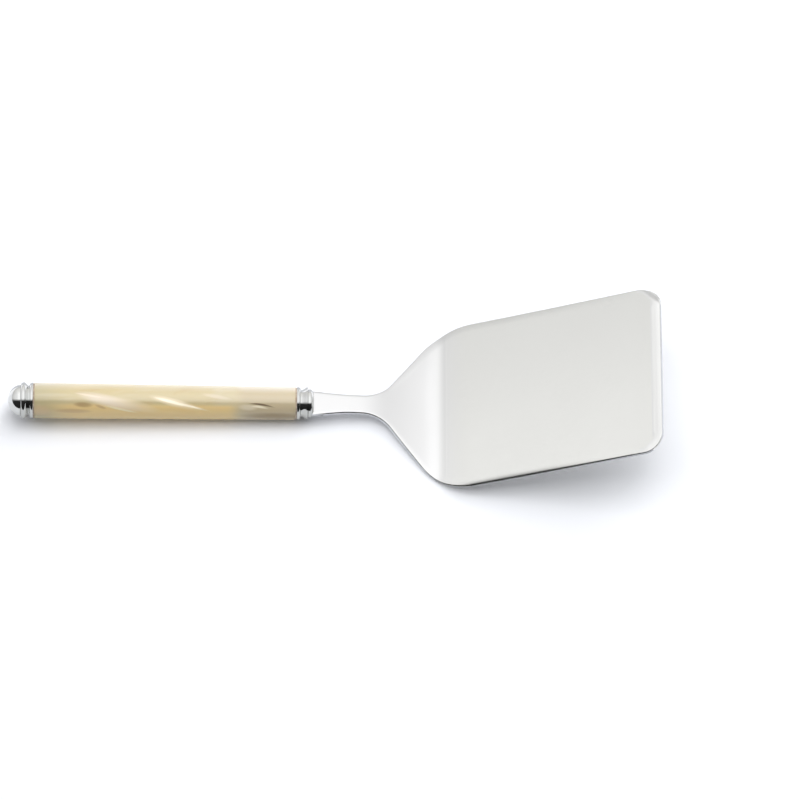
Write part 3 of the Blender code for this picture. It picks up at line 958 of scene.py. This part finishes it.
@dataclass
class Sleeve:
    """The tapered resin tube, with the thin ring at either end of it."""

    place: Matrix
    resin: Material
    rubber: Material
    start: float = 0.01185
    end: float = 0.12735
    rear_radius: float = 0.0079
    front_radius: float = 0.00725
    edge_round: float = 0.0003
    bore: float = 0.0042
    seal_width: float = 0.0005
    seal_bore: float = 0.0050
    seal_round: float = 0.0001
    rear_seal_radius: float = 0.0077
    front_seal_radius: float = 0.0070

    def sleeve(self) -> Object:
        """Turns the tube, with its ends a little rounded.

        Returns:
            The sleeve.
        """
        radii = (self.rear_radius, self.front_radius)
        profile = tube((self.start, self.end), radii, self.bore, self.edge_round)
        obj = turned("sleeve_skin", profile, self.place)
        return enter(obj, "handle_sleeve", "pearl_resin", self.resin)

    def seal(self, node: str, start: float, radius: float) -> Object:
        """Turns one of the rings.

        Args:
            node: Name of the solid that it stands for.
            start: Its rear station.
            radius: Its outer radius.

        Returns:
            The ring.
        """
        span = (start, start + self.seal_width)
        profile = tube(span, (radius, radius), self.seal_bore, self.seal_round)
        obj = turned(node + "_ring", profile, self.place)
        return enter(obj, node, "seal_rubber", self.rubber)

    def front_seal(self) -> Object:
        """Turns the ring before the front ferrule."""
        return self.seal("front_seal", self.end, self.front_seal_radius)

    def rear_seal(self) -> Object:
        """Turns the ring behind the sleeve."""
        return self.seal("rear_seal", self.start - self.seal_width, self.rear_seal_radius)


@dataclass
class CollarSide:
    """The turned side that both collars share, from the sleeve's face out to the crest."""

    ring_radius: float
    face: float
    crest: float
    side: Side
    round_share: float
    lip: float = 0.0005
    ring_width: float = 0.0019
    valley_depth: float = 0.0014
    crest_proud: float = 0.0001
    sharp_power: float = 1.5

    def points(self) -> list[Point]:
        """Works out the profile.

        Returns:
            The points from the face to the crest.
        """
        way = self.side.value
        steps = Fineness.PROFILE.value
        valley = self.ring_radius - self.valley_depth
        centre = (self.face + way * self.lip, self.ring_radius - self.lip)
        profile = arc(centre, (way * self.lip, self.lip), 180.0, 90.0, Fineness.EDGE)
        reach = way * (self.ring_width - self.lip)
        bead = arc((centre[0], valley), (reach, self.valley_depth), 90.0, 0.0, Fineness.PROFILE)
        profile += bead[1:]
        start = self.face + way * self.ring_width
        rise = self.crest_radius() - valley
        for step in range(1, steps + 1):
            share = step / steps
            eased = share * share * (3.0 - 2.0 * share)
            height = self.round_share * eased + (1.0 - self.round_share) * share**self.sharp_power
            profile.append((start + (self.crest - start) * share, valley + rise * height))
        return profile

    def crest_radius(self) -> float:
        """Gives the radius at the crest."""
        return self.ring_radius + self.crest_proud


@dataclass
class RearEnd:
    """The rear collar and the domed finial that is screwed onto it."""

    place: Matrix
    chrome: Material
    dome_length: float = 0.00575
    dome_radius: float = 0.0069
    dome_foot_round: float = 0.00012
    dome_wall: float = 0.0016
    spigot_length: float = 0.0020
    spigot_radius: float = 0.0044
    rod_bore: float = 0.0028
    collar_start: float = 0.00580
    crest_back: float = 0.00135
    face: float = 0.01135
    ring_radius: float = 0.0080
    round_share: float = 1.0
    dome_step: float = 0.0003
    pocket_radius: float = 0.0047
    pocket_depth: float = 0.0033

    def finial(self) -> Object:
        """Turns the domed cap nut, with its spigot and blind bore.

        Returns:
            The finial.
        """
        top = self.dome_length + self.spigot_length
        foot = self.dome_length - self.dome_foot_round
        edge = (self.dome_foot_round, self.dome_foot_round)
        profile = [(self.dome_wall, self.rod_bore), (top, self.rod_bore)]
        profile += [(top, self.spigot_radius), (self.dome_length, self.spigot_radius)]
        profile += arc((foot, self.dome_radius - edge[1]), edge, 0.0, 90.0, Fineness.EDGE)
        profile += arc((foot, 0.0), (foot, self.dome_radius), 90.0, 180.0, Fineness.DOME)[1:-1]
        profile.append((0.0, 0.0))
        return enter(turned("finial_dome", profile, self.place), "finial", "chrome", self.chrome)

    def collar(self) -> Object:
        """Turns the rear collar, with its pocket for the finial's spigot and the washer.

        Returns:
            The collar.
        """
        crest = self.collar_start + self.crest_back
        side = CollarSide(self.ring_radius, self.face, crest, Side.REAR, self.round_share)
        face_radius = self.dome_radius + self.dome_step
        drop = (self.crest_back, side.crest_radius() - face_radius)
        floor = self.collar_start + self.pocket_depth
        profile = [(self.face, self.rod_bore), *side.points()]
        profile += arc((crest, face_radius), drop, 90.0, 180.0, Fineness.PROFILE)[1:]
        profile += [(self.collar_start, self.pocket_radius), (floor, self.pocket_radius)]
        profile += [(floor, self.rod_bore), (self.face, self.rod_bore)]
        obj = turned("rear_collar_turning", profile, self.place)
        return enter(obj, "rear_collar", "chrome", self.chrome)


@dataclass
class FrontFerrule:
    """The front ferrule, slotted for the tang and pocketed for the neck's foot."""

    place: Matrix
    chrome: Material
    face: float = 0.12785
    nose: float = 0.1355
    nose_length: float = 0.0024
    crest_drop: float = 0.0005
    ring_radius: float = 0.00735
    round_share: float = 0.35
    nose_radius: float = 0.0064
    groove_depth: float = 0.0002
    nose_round: float = 0.0018
    nose_flat: float = 0.0034
    bore_wall: float = 0.0030
    pocket_depth: float = 0.0019
    foot_width: float = 0.0114
    tang_width: float = 0.0060
    sheet: float = 0.0018
    clearance: float = 0.00008
    overrun: float = 0.001

    def build(self) -> Object:
        """Turns the ferrule, then cuts its slot and pocket.

        Returns:
            The ferrule.
        """
        crest = self.nose - self.nose_length - self.crest_drop
        side = CollarSide(self.ring_radius, self.face, crest, Side.FRONT, self.round_share)
        groove = (self.nose - self.nose_length, self.nose_radius - self.groove_depth)
        centre = (self.nose - self.nose_round, self.nose_flat)
        rounding = (self.nose_round, self.nose_radius - self.nose_flat)
        profile = [(self.face, self.bore_wall), *side.points(), groove]
        profile += arc(centre, rounding, 90.0, 0.0, Fineness.PROFILE)
        profile.append((self.nose, self.bore_wall))
        obj = turned("front_ferrule_turning", profile, self.place)
        self.cut_block(obj, self.face - self.overrun, self.tang_width)
        self.cut_block(obj, self.nose - self.pocket_depth, self.foot_width)
        shade(obj, CREASE)
        return enter(obj, "front_ferrule", "chrome", self.chrome)

    def cut_block(self, obj: Object, back: float, width: float) -> None:
        """Cuts out the room for a flat piece of the sheet, from a station to past the nose.

        Args:
            obj: The ferrule.
            back: The station.
            width: How wide the flat piece is.
        """
        length = self.nose + self.overrun - back
        room = 2.0 * self.clearance
        deselect_all()
        bpy.ops.mesh.primitive_cube_add(size=1.0, location=(back + length / 2.0, 0.0, 0.0))
        cutter = named("slot_cutter")
        bpy.ops.transform.resize(value=(length, width + room, self.sheet + room))
        settle(cutter, self.place)
        cut_away(obj, cutter)


class BladeFinish(Enum):
    """The blade's finishes, each with its place in their list."""

    TOP = 0
    GROUND = 1
    # The wall's steel is darkened: painted shade
    WALL = 2
    # The front face's steel is darkened: painted shade
    FRONT = 3


@dataclass(frozen=True)
class Bend:
    """One run of the blade's middle line: its length, how far it turns up, and its rows."""

    length: float
    turn: float
    rows: int


@dataclass(frozen=True)
class EdgeRoll:
    """How the blade's top eases down towards its outline at a distance from the foot.

    A wide, shallow drop is followed by the small rounding of the rim itself. The far
    side has a drop and a width of its own.
    """

    along: float
    drop: float
    width: float
    far_drop: float
    far_width: float
    radius: float


@dataclass
class Blade:
    """The blade: a sheet drawn out along its bends, thickened, ground and softened.

    Its finishes are given in the order of BladeFinish.
    """

    place: Matrix
    finishes: tuple[Material, ...]
    sheet: float = 0.0018
    sheet_merge: float = 0.0000001
    foot_at: float = 0.1344
    foot_width: float = 0.0114
    neck_width: float = 0.0091
    neck_taper: float = 0.0180
    neck_length: float = 0.0223
    flare_radius: float = 0.0165
    shoulder_angle: float = 52.0
    heel_corner: float = 0.0305
    heel_width: float = 0.0807
    heel_aside: float = -0.0002
    front_width: float = 0.0812
    front_corner: float = 0.0090
    length: float = 0.16286
    bends: tuple[Bend, ...] = (
        Bend(0.0120, 0.0, 1),
        Bend(0.0105, -5.0, 7),
        Bend(0.0100, -6.4, 7),
        Bend(0.0030, 0.0, 1),
        Bend(0.0155, 4.4, 8),
        Bend(0.0032, 8.2, 10),
        Bend(0.0054, 23.3, 22),
        Bend(0.0094, -0.6, 8),
        Bend(0.0792, 0.0, 4),
        Bend(0.0120, 1.0, 6),
    )
    rolls: tuple[EdgeRoll, ...] = (
        EdgeRoll(0.0000, 0.00000, 0.0010, 0.00000, 0.0010, 0.00000),
        EdgeRoll(0.0025, 0.00015, 0.0012, 0.00025, 0.0012, 0.00080),
        EdgeRoll(0.0300, 0.00015, 0.0012, 0.00030, 0.0014, 0.00080),
        EdgeRoll(0.0420, 0.00015, 0.0020, 0.00055, 0.0036, 0.00080),
        EdgeRoll(0.0550, 0.00015, 0.0024, 0.00060, 0.0042, 0.00060),
        EdgeRoll(0.0640, 0.00060, 0.0036, 0.00060, 0.0042, 0.00075),
        EdgeRoll(0.0720, 0.00110, 0.0042, 0.00065, 0.0042, 0.00085),
        EdgeRoll(0.0900, 0.00125, 0.0042, 0.00070, 0.0040, 0.00085),
        EdgeRoll(0.1150, 0.00110, 0.0042, 0.00050, 0.0036, 0.00085),
        EdgeRoll(0.1350, 0.00070, 0.0036, 0.00020, 0.0028, 0.00080),
        EdgeRoll(0.1500, 0.00025, 0.0024, 0.00000, 0.0020, 0.00065),
        EdgeRoll(0.1610, 0.00000, 0.0020, 0.00000, 0.0020, 0.00050),
    )
    roll_power: float = 1.8
    tang_length: float = 0.0220
    tang_width: float = 0.0060
    foot_slope: float = 0.0005
    rim_depths: tuple[float, ...] = (
        0.00004, 0.00012, 0.00024, 0.0004, 0.0006, 0.0009,
        0.0013, 0.0018, 0.0024, 0.0030, 0.0036, 0.0042,
    )
    rim_angle: float = 50.0
    facing_up: float = 0.5
    facing_back: float = -0.9
    wall_level: float = 0.3
    underside_level: float = 0.8
    front_level: float = 0.75
    underside_round: float = 0.0002
    underside_steps: int = 4
    least_edge: float = 0.0003
    hidden_foot: float = 0.0010
    ground_width: float = 0.0040
    ground_angle: float = 11.6
    ground_turn: float = 80.0
    ground_power: float = 1.7
    near_facet: float = 9.0
    far_facet: float = 31.0
    facet_start: float = 0.90
    front_cuts: int = 51
    ground_full: float = 0.0060
    ground_start: float = 0.0120
    ground_tilts: Pair = (1.2, 40.0)
    pin_from_tang_end: float = 0.0045
    pin_hole: float = 0.00115
    drill_length: float = 0.0054
    smooth_angle: float = 38.0
    rows_taper: int = 10
    rows_foot: int = 3
    rows_arc: int = 16
    closest_row: float = 0.0002

    def on_line(self, along: float) -> Triple:
        """Follows the sheet's middle line along its bends.

        Args:
            along: Distance from the foot.

        Returns:
            The line's station, height and slope there.
        """
        x, z, slope = self.foot_at, 0.0, 0.0
        left = along
        for bend in self.bends:
            run = min(left, bend.length)
            if bend.turn:
                radius = bend.length / math.radians(bend.turn)
                angle = run / radius
                x += radius * (math.sin(slope + angle) - math.sin(slope))
                z -= radius * (math.cos(slope + angle) - math.cos(slope))
                slope += angle
            else:
                x += run * math.cos(slope)
                z += run * math.sin(slope)
            left -= run
            if left <= 0.0:
                return x, z, slope
        return x + left * math.cos(slope), z + left * math.sin(slope), slope

    def under_line(self, along: float) -> Pair:
        """Follows the middle of the sheet's underside.

        Args:
            along: Distance from the foot.

        Returns:
            Its station and height there.
        """
        x, z, slope = self.on_line(along)
        under = self.sheet / 2.0
        return x + under * math.sin(slope), z - under * math.cos(slope)

    def shoulder(self) -> Triple:
        """Works out the distances from the foot between which the shoulder runs.

        Returns:
            Where the flare ends, and where the heel's corner starts and ends.
        """
        angle = math.radians(self.shoulder_angle)
        rounding = 1.0 - math.cos(angle)
        flare_end = self.neck_length + self.flare_radius * math.sin(angle)
        low = self.neck_width / 2.0 + self.flare_radius * rounding
        high = self.heel_width / 2.0 - self.heel_corner * rounding
        corner_start = flare_end + (high - low) / math.tan(angle)
        return flare_end, corner_start, corner_start + self.heel_corner * math.sin(angle)

    def half_width(self, along: float) -> float:
        """Works out half the sheet's width.

        Args:
            along: Distance from the foot.

        Returns:
            Half the width there.
        """
        neck = self.neck_width / 2.0
        flare_end, corner_start, corner_end = self.shoulder()
        front_start = self.length - self.front_corner
        if along < self.neck_taper:
            ease = (1.0 + math.cos(math.pi * along / self.neck_taper)) / 2.0
            return neck + (self.foot_width / 2.0 - neck) * ease
        if along <= self.neck_length:
            return neck
        if along <= flare_end:
            reach = along - self.neck_length
            return neck + self.flare_radius - math.sqrt(self.flare_radius**2 - reach**2)
        if along <= corner_start:
            slope = math.tan(math.radians(self.shoulder_angle))
            return self.half_width(flare_end) + (along - flare_end) * slope
        if along < corner_end:
            reach = corner_end - along
            inset = self.heel_corner - math.sqrt(self.heel_corner**2 - reach**2)
            return self.heel_width / 2.0 - inset
        share = min((along - corner_end) / (front_start - corner_end), 1.0)
        half = (self.heel_width + (self.front_width - self.heel_width) * share) / 2.0
        reach = max(along - front_start, 0.0)
        return half - self.front_corner + math.sqrt(max(self.front_corner**2 - reach**2, 0.0))

    def aside(self, along: float) -> float:
        """Tells how far the sheet's middle lies to the far side of the handle's axis."""
        stops = [self.neck_length, self.shoulder()[2], self.length - self.front_corner]
        return between(along, stops, [0.0, self.heel_aside, 0.0])

    def rows(self) -> list[float]:
        """Works out where the sheet gets its rows of points.

        Returns:
            Their distances from the foot.
        """
        flare_end, corner_start, corner_end = self.shoulder()
        front_start = self.length - self.front_corner
        taper_step = self.neck_taper / self.rows_taper
        rows = [step * taper_step for step in range(self.rows_foot, self.rows_taper + 1)]
        rows += [self.neck_length, (flare_end + corner_start) / 2.0, corner_end, front_start]
        front = []
        for step in range(1, self.rows_arc + 1):
            share = step / self.rows_arc
            rise = math.sin(math.radians(self.shoulder_angle * share))
            rows.append(self.neck_length + self.flare_radius * rise)
            rows.append(corner_end - self.heel_corner * rise)
            front.append(front_start + self.front_corner * math.sin(math.radians(90.0 * share)))
        start = 0.0
        for bend in self.bends:
            rows += [start + bend.length * step / bend.rows for step in range(1, bend.rows + 1)]
            start += bend.length
        kept = [0.0]
        for row in sorted(row for row in rows if row <= front_start):
            if row - kept[-1] > self.closest_row:
                kept.append(row)
        return kept + front

    def build(self) -> Object:
        """Models the blade from its foot to its ground front edge.

        Returns:
            The blade.
        """
        obj = self.drawn_sheet()
        self.thicken(obj)
        self.shape_top(obj)
        self.draw_tang(obj)
        self.round_underside(obj)
        self.mark_finishes(obj)
        shade(obj, self.smooth_angle)
        self.drill_tang(obj)
        settle(obj, self.place)
        return enter(obj, "blade", "blade_steel", *self.finishes)

    def drawn_sheet(self) -> Object:
        """Draws the sheet's underside out from an edge at its foot, row by row.

        Returns:
            The underside, from the foot to the front.
        """
        rows = self.rows()
        foot, place = self.under_line(0.0), self.under_line(rows[1])
        middle = (foot[0] + place[0]) / 2.0
        start_half, half, aside = self.half_width(0.0), self.half_width(rows[1]), 0.0
        deselect_all()
        bpy.ops.mesh.primitive_plane_add(size=1.0)
        obj = named("blade_sheet")
        bpy.ops.transform.resize(value=(rows[1], 2.0 * start_half, 1.0))
        settle(obj)
        obj.location = (middle, 0.0, foot[1])
        settle(obj)
        pick(obj, Part.EDGE, lambda edge: nearest_end(obj, edge) > middle)
        widen((1.0, half / start_half, 1.0), (place[0], aside, place[1]))
        for row in rows[2:]:
            following, next_half = self.under_line(row), self.half_width(row)
            shift = self.aside(row) - aside
            aside += shift
            draw_out((following[0] - place[0], shift, following[1] - place[1]))
            widen((1.0, next_half / half, 1.0), (following[0], aside, following[1]))
            place, half = following, next_half
        bpy.ops.mesh.subdivide(number_cuts=self.front_cuts)
        object_mode()
        return obj

    def thicken(self, obj: Object) -> None:
        """Gives the sheet its thickness, upwards from the underside.

        Args:
            obj: The underside.
        """
        face_outwards(obj, self.sheet_merge)
        if sum(polygon.normal.z for polygon in obj.data.polygons) < 0.0:
            bpy.ops.object.mode_set(mode="EDIT")
            bpy.ops.mesh.flip_normals()
            object_mode()
        solid = obj.modifiers.new("sheet", "SOLIDIFY")
        solid.thickness = self.sheet
        solid.offset = 1.0
        finish_modifiers(obj)

    def shape_top(self, obj: Object) -> None:
        """Insets the top's outline in steps and eases each step down as far as it has to go.

        Args:
            obj: The sheet.
        """
        drops = obj.vertex_groups.new(name="drops")
        rows = self.rows()
        stations = [self.on_line(row)[0] for row in rows]
        pick(obj, Part.FACE, lambda face: face.normal.z > self.facing_up)
        depth = 0.0
        for reach in (0.0, *self.rim_depths):
            if reach:
                bpy.ops.mesh.inset(thickness=reach - depth, use_boundary=True, use_even_offset=True)
            depth = reach
            object_mode()
            for vertex in obj.data.vertices:
                if vertex.select:
                    along = between(vertex.co.x, stations, rows)
                    drop = self.top_drop(along, vertex.co.y, depth)
                    drops.add([vertex.index], drop / self.sheet, "REPLACE")
            bpy.ops.object.mode_set(mode="EDIT")
        object_mode()
        ease = obj.modifiers.new("ease", "DISPLACE")
        ease.direction = "Z"
        ease.mid_level = 0.0
        ease.strength = -self.sheet
        ease.vertex_group = "drops"
        finish_modifiers(obj)
        obj.vertex_groups.clear()
        self.pick_outline(obj, self.wall_level)
        bpy.ops.mesh.mark_sharp()
        object_mode()

    def top_drop(self, along: float, across: float, depth: float) -> float:
        """Works out how far the top has come down by rolling, rounding and grinding.

        Args:
            along: Distance from the foot.
            across: Place across the blade.
            depth: Distance in from the outline.

        Returns:
            The drop below the sheet's full thickness.
        """
        near = across < 0.0
        drop = self.roll_at(along, "drop" if near else "far_drop")
        width = self.roll_at(along, "width" if near else "far_width")
        radius = self.roll_at(along, "radius")
        rolled = drop * max(1.0 - depth / width, 0.0) ** self.roll_power
        outside = max(radius * math.sin(math.radians(self.rim_angle)) - depth, 0.0)
        rounded = radius - math.sqrt(radius**2 - outside**2)
        front = max(self.ground_drop(along, across, depth), self.facet_drop(along, across))
        return min(rolled + rounded + front, self.sheet - self.least_edge)

    def roll_at(self, along: float, size: str) -> float:
        """Reads one of the edge rolls' sizes, by its name, at a distance from the foot."""
        stations = [roll.along for roll in self.rolls]
        return between(along, stations, [getattr(roll, size) for roll in self.rolls])

    def ground_drop(self, along: float, across: float, depth: float) -> float:
        """Works out how much the grinding of the front edge takes off.

        Args:
            along: Distance from the foot.
            across: Place across the blade.
            depth: Distance in from the outline.

        Returns:
            The drop.
        """
        reach = [self.ground_full, self.ground_start]
        band = self.ground_width * between(self.length - along, reach, [1.0, 0.0])
        if depth >= band:
            return 0.0
        tilt = self.ground_angle + self.ground_turn * across
        steepness = math.tan(math.radians(tilt)) / self.ground_power
        return steepness * band * (1.0 - depth / band) ** self.ground_power

    def facet_drop(self, along: float, across: float) -> float:
        """Works out how much a front corner's facet takes off, past the line where it starts.

        Args:
            along: Distance from the foot.
            across: Place across the blade.

        Returns:
            The drop.
        """
        ahead = along - self.length + self.front_corner
        aside = abs(across) - self.front_width / 2.0 + self.front_corner
        start = self.front_corner * self.facet_start
        past = max((ahead + aside - start) / math.sqrt(2.0), 0.0)
        tilt = self.near_facet if across < 0.0 else self.far_facet
        return past * math.tan(math.radians(tilt))

    def draw_tang(self, obj: Object) -> None:
        """Draws the tang out of the foot's end face.

        Args:
            obj: The blade.
        """
        foot = self.foot_at + self.closest_row
        pick(obj, Part.FACE, lambda face: face.normal.x < self.facing_back and face.center.x < foot)
        draw_out((-self.foot_slope, 0.0, 0.0))
        widen((1.0, self.tang_width / self.foot_width, 1.0), (self.foot_at, 0.0, 0.0))
        draw_out((-self.tang_length, 0.0, 0.0))
        object_mode()

    def round_underside(self, obj: Object) -> None:
        """Rounds the edge of the underside, all round the part that shows.

        Args:
            obj: The blade.
        """
        self.pick_outline(obj, -self.facing_up)
        steps = self.underside_steps
        bpy.ops.mesh.bevel(offset=self.underside_round, segments=steps, clamp_overlap=False)
        object_mode()

    def pick_outline(self, obj: Object, level: float) -> None:
        """Selects the edges between faces whose upward normals lie on either side of a level.

        Args:
            obj: The blade.
            level: The level.
        """
        start = self.foot_at + self.hidden_foot
        facing = {}
        for polygon in obj.data.polygons:
            for key in polygon.edge_keys:
                facing.setdefault(key, []).append(polygon.normal.z)
        parted = {key for key, levels in facing.items() if min(levels) < level < max(levels)}
        pick(obj, Part.EDGE, lambda edge: edge.key in parted and nearest_end(obj, edge) > start)

    def mark_finishes(self, obj: Object) -> None:
        """Marks the ground band, which gets a finish of its own, and the wall and the front face,
        whose steels are darkened as painted shade.

        Args:
            obj: The blade.
        """
        slope = self.on_line(self.length)[2]
        up = Vector((-math.sin(slope), 0.0, math.cos(slope)))
        nearest = self.on_line(self.length - self.ground_start)[0]
        low, high = (math.radians(tilt) for tilt in self.ground_tilts)
        for polygon in obj.data.polygons:
            finish = BladeFinish.TOP
            if polygon.center.x > nearest and low < polygon.normal.angle(up) < high:
                finish = BladeFinish.GROUND
            elif polygon.normal.x > self.front_level:
                finish = BladeFinish.FRONT
            elif -self.underside_level < polygon.normal.z < self.wall_level:
                finish = BladeFinish.WALL
            polygon.material_index = finish.value

    def drill_tang(self, obj: Object) -> None:
        """Drills the tang for its pin.

        Args:
            obj: The blade.
        """
        station = self.foot_at - self.foot_slope - self.tang_length + self.pin_from_tang_end
        deselect_all()
        bpy.ops.mesh.primitive_cylinder_add(
            vertices=Fineness.HOLE.value,
            radius=self.pin_hole,
            depth=self.drill_length,
            location=(station, 0.0, 0.0),
        )
        cutter = named("pin_cutter")
        settle(cutter)
        cut_away(obj, cutter)


@dataclass(frozen=True)
class Lamp:
    """A soft square lamp that faces the middle of the table and isn't mirrored.

    Its bearing and elevation are in degrees, its power in watts.
    """

    name: str
    bearing: float
    elevation: float
    distance: float
    size: float
    power: float

    def hang(self) -> None:
        """Adds the lamp to the scene."""
        data = bpy.data.lights.new(self.name, "AREA")
        data.shape = "SQUARE"
        data.size = self.size
        data.energy = self.power
        lamp = bpy.data.objects.new(self.name, data)
        bpy.context.scene.collection.objects.link(lamp)
        bearing, elevation = math.radians(self.bearing), math.radians(self.elevation)
        level = math.cos(elevation)
        towards = Vector((level * math.cos(bearing), level * math.sin(bearing), math.sin(elevation)))
        lamp.location = self.distance * towards
        lamp.rotation_euler = towards.to_track_quat("Z", "Y").to_euler()
        lamp.visible_glossy = False


@dataclass
class Studio:
    """A white table under a wide, soft sky, with the camera that looks down on it."""

    axis_place: Matrix
    elevation: float = 62.5
    distance: float = 3.393
    clip_end: float = 100.0
    pixels_per_metre: float = 2258.6
    picture: float = 800.0
    sensor: float = 36.0
    look_station: float = 0.17361
    look_across: float = 0.00011
    floor_size: float = 6.0
    floor_drop: float = 0.00002
    floor_tint: Tint = Tint(245, 247, 252)
    floor_shade: Tint = Tint(244, 246, 251)
    floor_clouds: float = 30.0
    floor_rough: float = 0.9
    floor_glow: float = 0.08
    sky_rise: Range = (0.0, 0.75, 0.67, 0.96)
    dark_edge: float = 27.5
    dark_level: float = 0.025
    dark_blend: Pair = (0.10, -0.24)
    panel_level: float = 0.29
    panel_side: Pair = (0.40, 0.16)
    panel_back: Pair = (0.80, 0.45)
    back_fall: Range = (0.60, 0.32, 0.94, 1.07)
    rear_share: float = 0.62
    lit_share: float = 0.42
    lamps: tuple[Lamp, ...] = (
        Lamp("top_lamp", 0.0, 90.0, 2.2, 1.4, 19.0),
        Lamp("front_lamp", 45.0, 60.0, 2.2, 1.4, 15.0),
        Lamp("low_lamp", 45.0, 32.0, 2.2, 1.4, 10.0),
        Lamp("rear_lamp", 180.0, 42.0, 2.2, 1.4, 7.5),
    )

    def build(self) -> None:
        """Sets the camera, the floor, the sky and the lamps."""
        scene = bpy.context.scene
        scene.view_settings.view_transform = "Standard"
        self.camera(scene)
        self.floor()
        self.sky(scene)
        for lamp in self.lamps:
            lamp.hang()

    def camera(self, scene: bpy.types.Scene) -> None:
        """Places the camera at the photograph's angle.

        Args:
            scene: The scene.
        """
        data = bpy.data.cameras.new("camera")
        data.sensor_width = self.sensor
        data.lens = self.pixels_per_metre * self.distance * self.sensor / self.picture
        data.clip_end = self.clip_end
        camera = bpy.data.objects.new("camera", data)
        scene.collection.objects.link(camera)
        angle = math.radians(self.elevation)
        look = Vector((self.look_station, self.look_across, 0.0))
        back = Vector((0.0, -math.cos(angle), math.sin(angle)))
        camera.location = self.axis_place.translation + look + self.distance * back
        camera.rotation_euler = (math.pi / 2.0 - angle, 0.0, 0.0)
        scene.camera = camera

    def floor(self) -> None:
        """Lays the pale table, which shows white to the camera and in reflections."""
        deselect_all()
        place = (0.0, 0.0, -self.floor_drop)
        bpy.ops.mesh.primitive_plane_add(size=self.floor_size, location=place)
        floor = named("table_top")
        settle(floor)
        material, wiring, shader = new_material("table_white")
        cloth = wiring.noise(wiring.position(), self.floor_clouds, detail=2.0)
        path = wiring.add("LightPath").outputs
        seen = wiring.maths("MAXIMUM", path["Is Camera Ray"], path["Is Glossy Ray"])
        seen = wiring.maths("MAXIMUM", seen, path["Is Transmission Ray"])
        wiring.fill(
            shader,
            Base_Color=wiring.mix(cloth, self.floor_shade, self.floor_tint),
            Roughness=self.floor_rough,
            Specular_IOR_Level=0.0,
            Emission_Color=WHITE,
            Emission_Strength=wiring.times(seen, self.floor_glow),
        )
        dress(floor, material)

    def sky(self, scene: bpy.types.Scene) -> None:
        """Builds the soft sky: white to the camera, and dark low down on the camera's side.

        Args:
            scene: The scene.
        """
        world = bpy.data.worlds.new("studio_sky")
        world.use_nodes = True
        scene.world = world
        wiring = Wiring(world.node_tree)
        side, back, up = wiring.apart(wiring.add("TexCoord").outputs["Generated"])
        aside = wiring.maths("MAXIMUM", side, wiring.times(side, -self.rear_share))
        panel = wiring.spread(aside, *self.panel_side)
        panel = wiring.times(panel, wiring.spread(back, *self.panel_back))
        panel = wiring.times(panel, self.panel_level)
        level = wiring.maths("ADD", wiring.spread(up, *self.sky_rise), panel)
        level = wiring.times(level, wiring.spread(back, *self.back_fall))
        reach = wiring.times(up, math.tan(math.radians(self.dark_edge)))
        past = wiring.maths("SUBTRACT", wiring.times(back, -1.0), reach)
        level = wiring.times(level, wiring.spread(past, *self.dark_blend))
        level = wiring.maths("ADD", level, self.dark_level)
        path = wiring.add("LightPath").outputs
        share = wiring.spread(path["Is Glossy Ray"], 0.0, 1.0, self.lit_share, 1.0)
        strength = wiring.maths("MAXIMUM", wiring.times(level, share), path["Is Camera Ray"])
        background = world.node_tree.nodes["Background"]
        wiring.fill(background, Color=WHITE, Strength=strength)


def blade_finishes(groups: SurfaceGroups) -> tuple[Material, ...]:
    """Builds the blade's four steels, the wall's and the front face's darkened as painted shade.

    Args:
        groups: The node groups that the finishes share.

    Returns:
        The steels, in the order of BladeFinish.
    """
    steels = (
        # The main steel, with a cooler painted reflection tint at the neck
        PolishedSteel("blade_steel", groups, crown=0.8, wave=0.0006, neck_painted_reflection=Tint(230, 230, 231)),
        PolishedSteel(
            "ground_steel",
            groups,
            tint=Tint(230, 230, 229),
            smooth=0.16,
            dull=0.22,
            lines_along=1400.0,
            lines_across=45.0,
        ),
        # The wall's steel, darkened as painted shade
        PolishedSteel(
            "edge_steel",
            groups,
            tint=Tint(170, 171, 173),
            smooth=0.2,
            dull=0.3,
            # Lighter towards the neck: painted reflection
            neck_painted_reflection=Tint(217, 218, 220),
        ),
        # The front face's steel, darkened as painted shade
        PolishedSteel("front_steel", groups, tint=Tint(208, 209, 211), smooth=0.2, dull=0.3),
    )
    return tuple(steel.material() for steel in steels)


def main() -> None:
    """Builds every piece, dresses it and sets up the studio."""
    logging.basicConfig(level=logging.INFO, format="%(message)s")
    place = HandleAxis().placing()
    groups = SurfaceGroups()
    chrome = Chrome(groups, place).material()
    resin = PearlResin(groups, place).material()
    rubber = SealRubber(groups).material()
    rod = PolishedSteel("rod_steel", groups, tint=Tint(190, 190, 190), smooth=0.32, dull=0.45)
    rod_steel = rod.material()
    blade = Blade(place, blade_finishes(groups))
    ferrule = FrontFerrule(place, chrome)
    sleeve = Sleeve(place, resin, rubber)
    rear = RearEnd(place, chrome)
    steps = (
        blade.build,
        ferrule.build,
        sleeve.front_seal,
        sleeve.sleeve,
        sleeve.rear_seal,
        rear.collar,
        rear.finial,
    )
    for build in steps:
        obj = build()
        LOG.info("%s: %d faces", obj.name, len(obj.data.polygons))
    for node in ("tie_rod", "tang_pin", "lock_washer"):
        dress(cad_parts[node], rod_steel)
        LOG.info("%s keeps its solid", node)
    Studio(place).build()


if __name__ == "__main__":
    main()
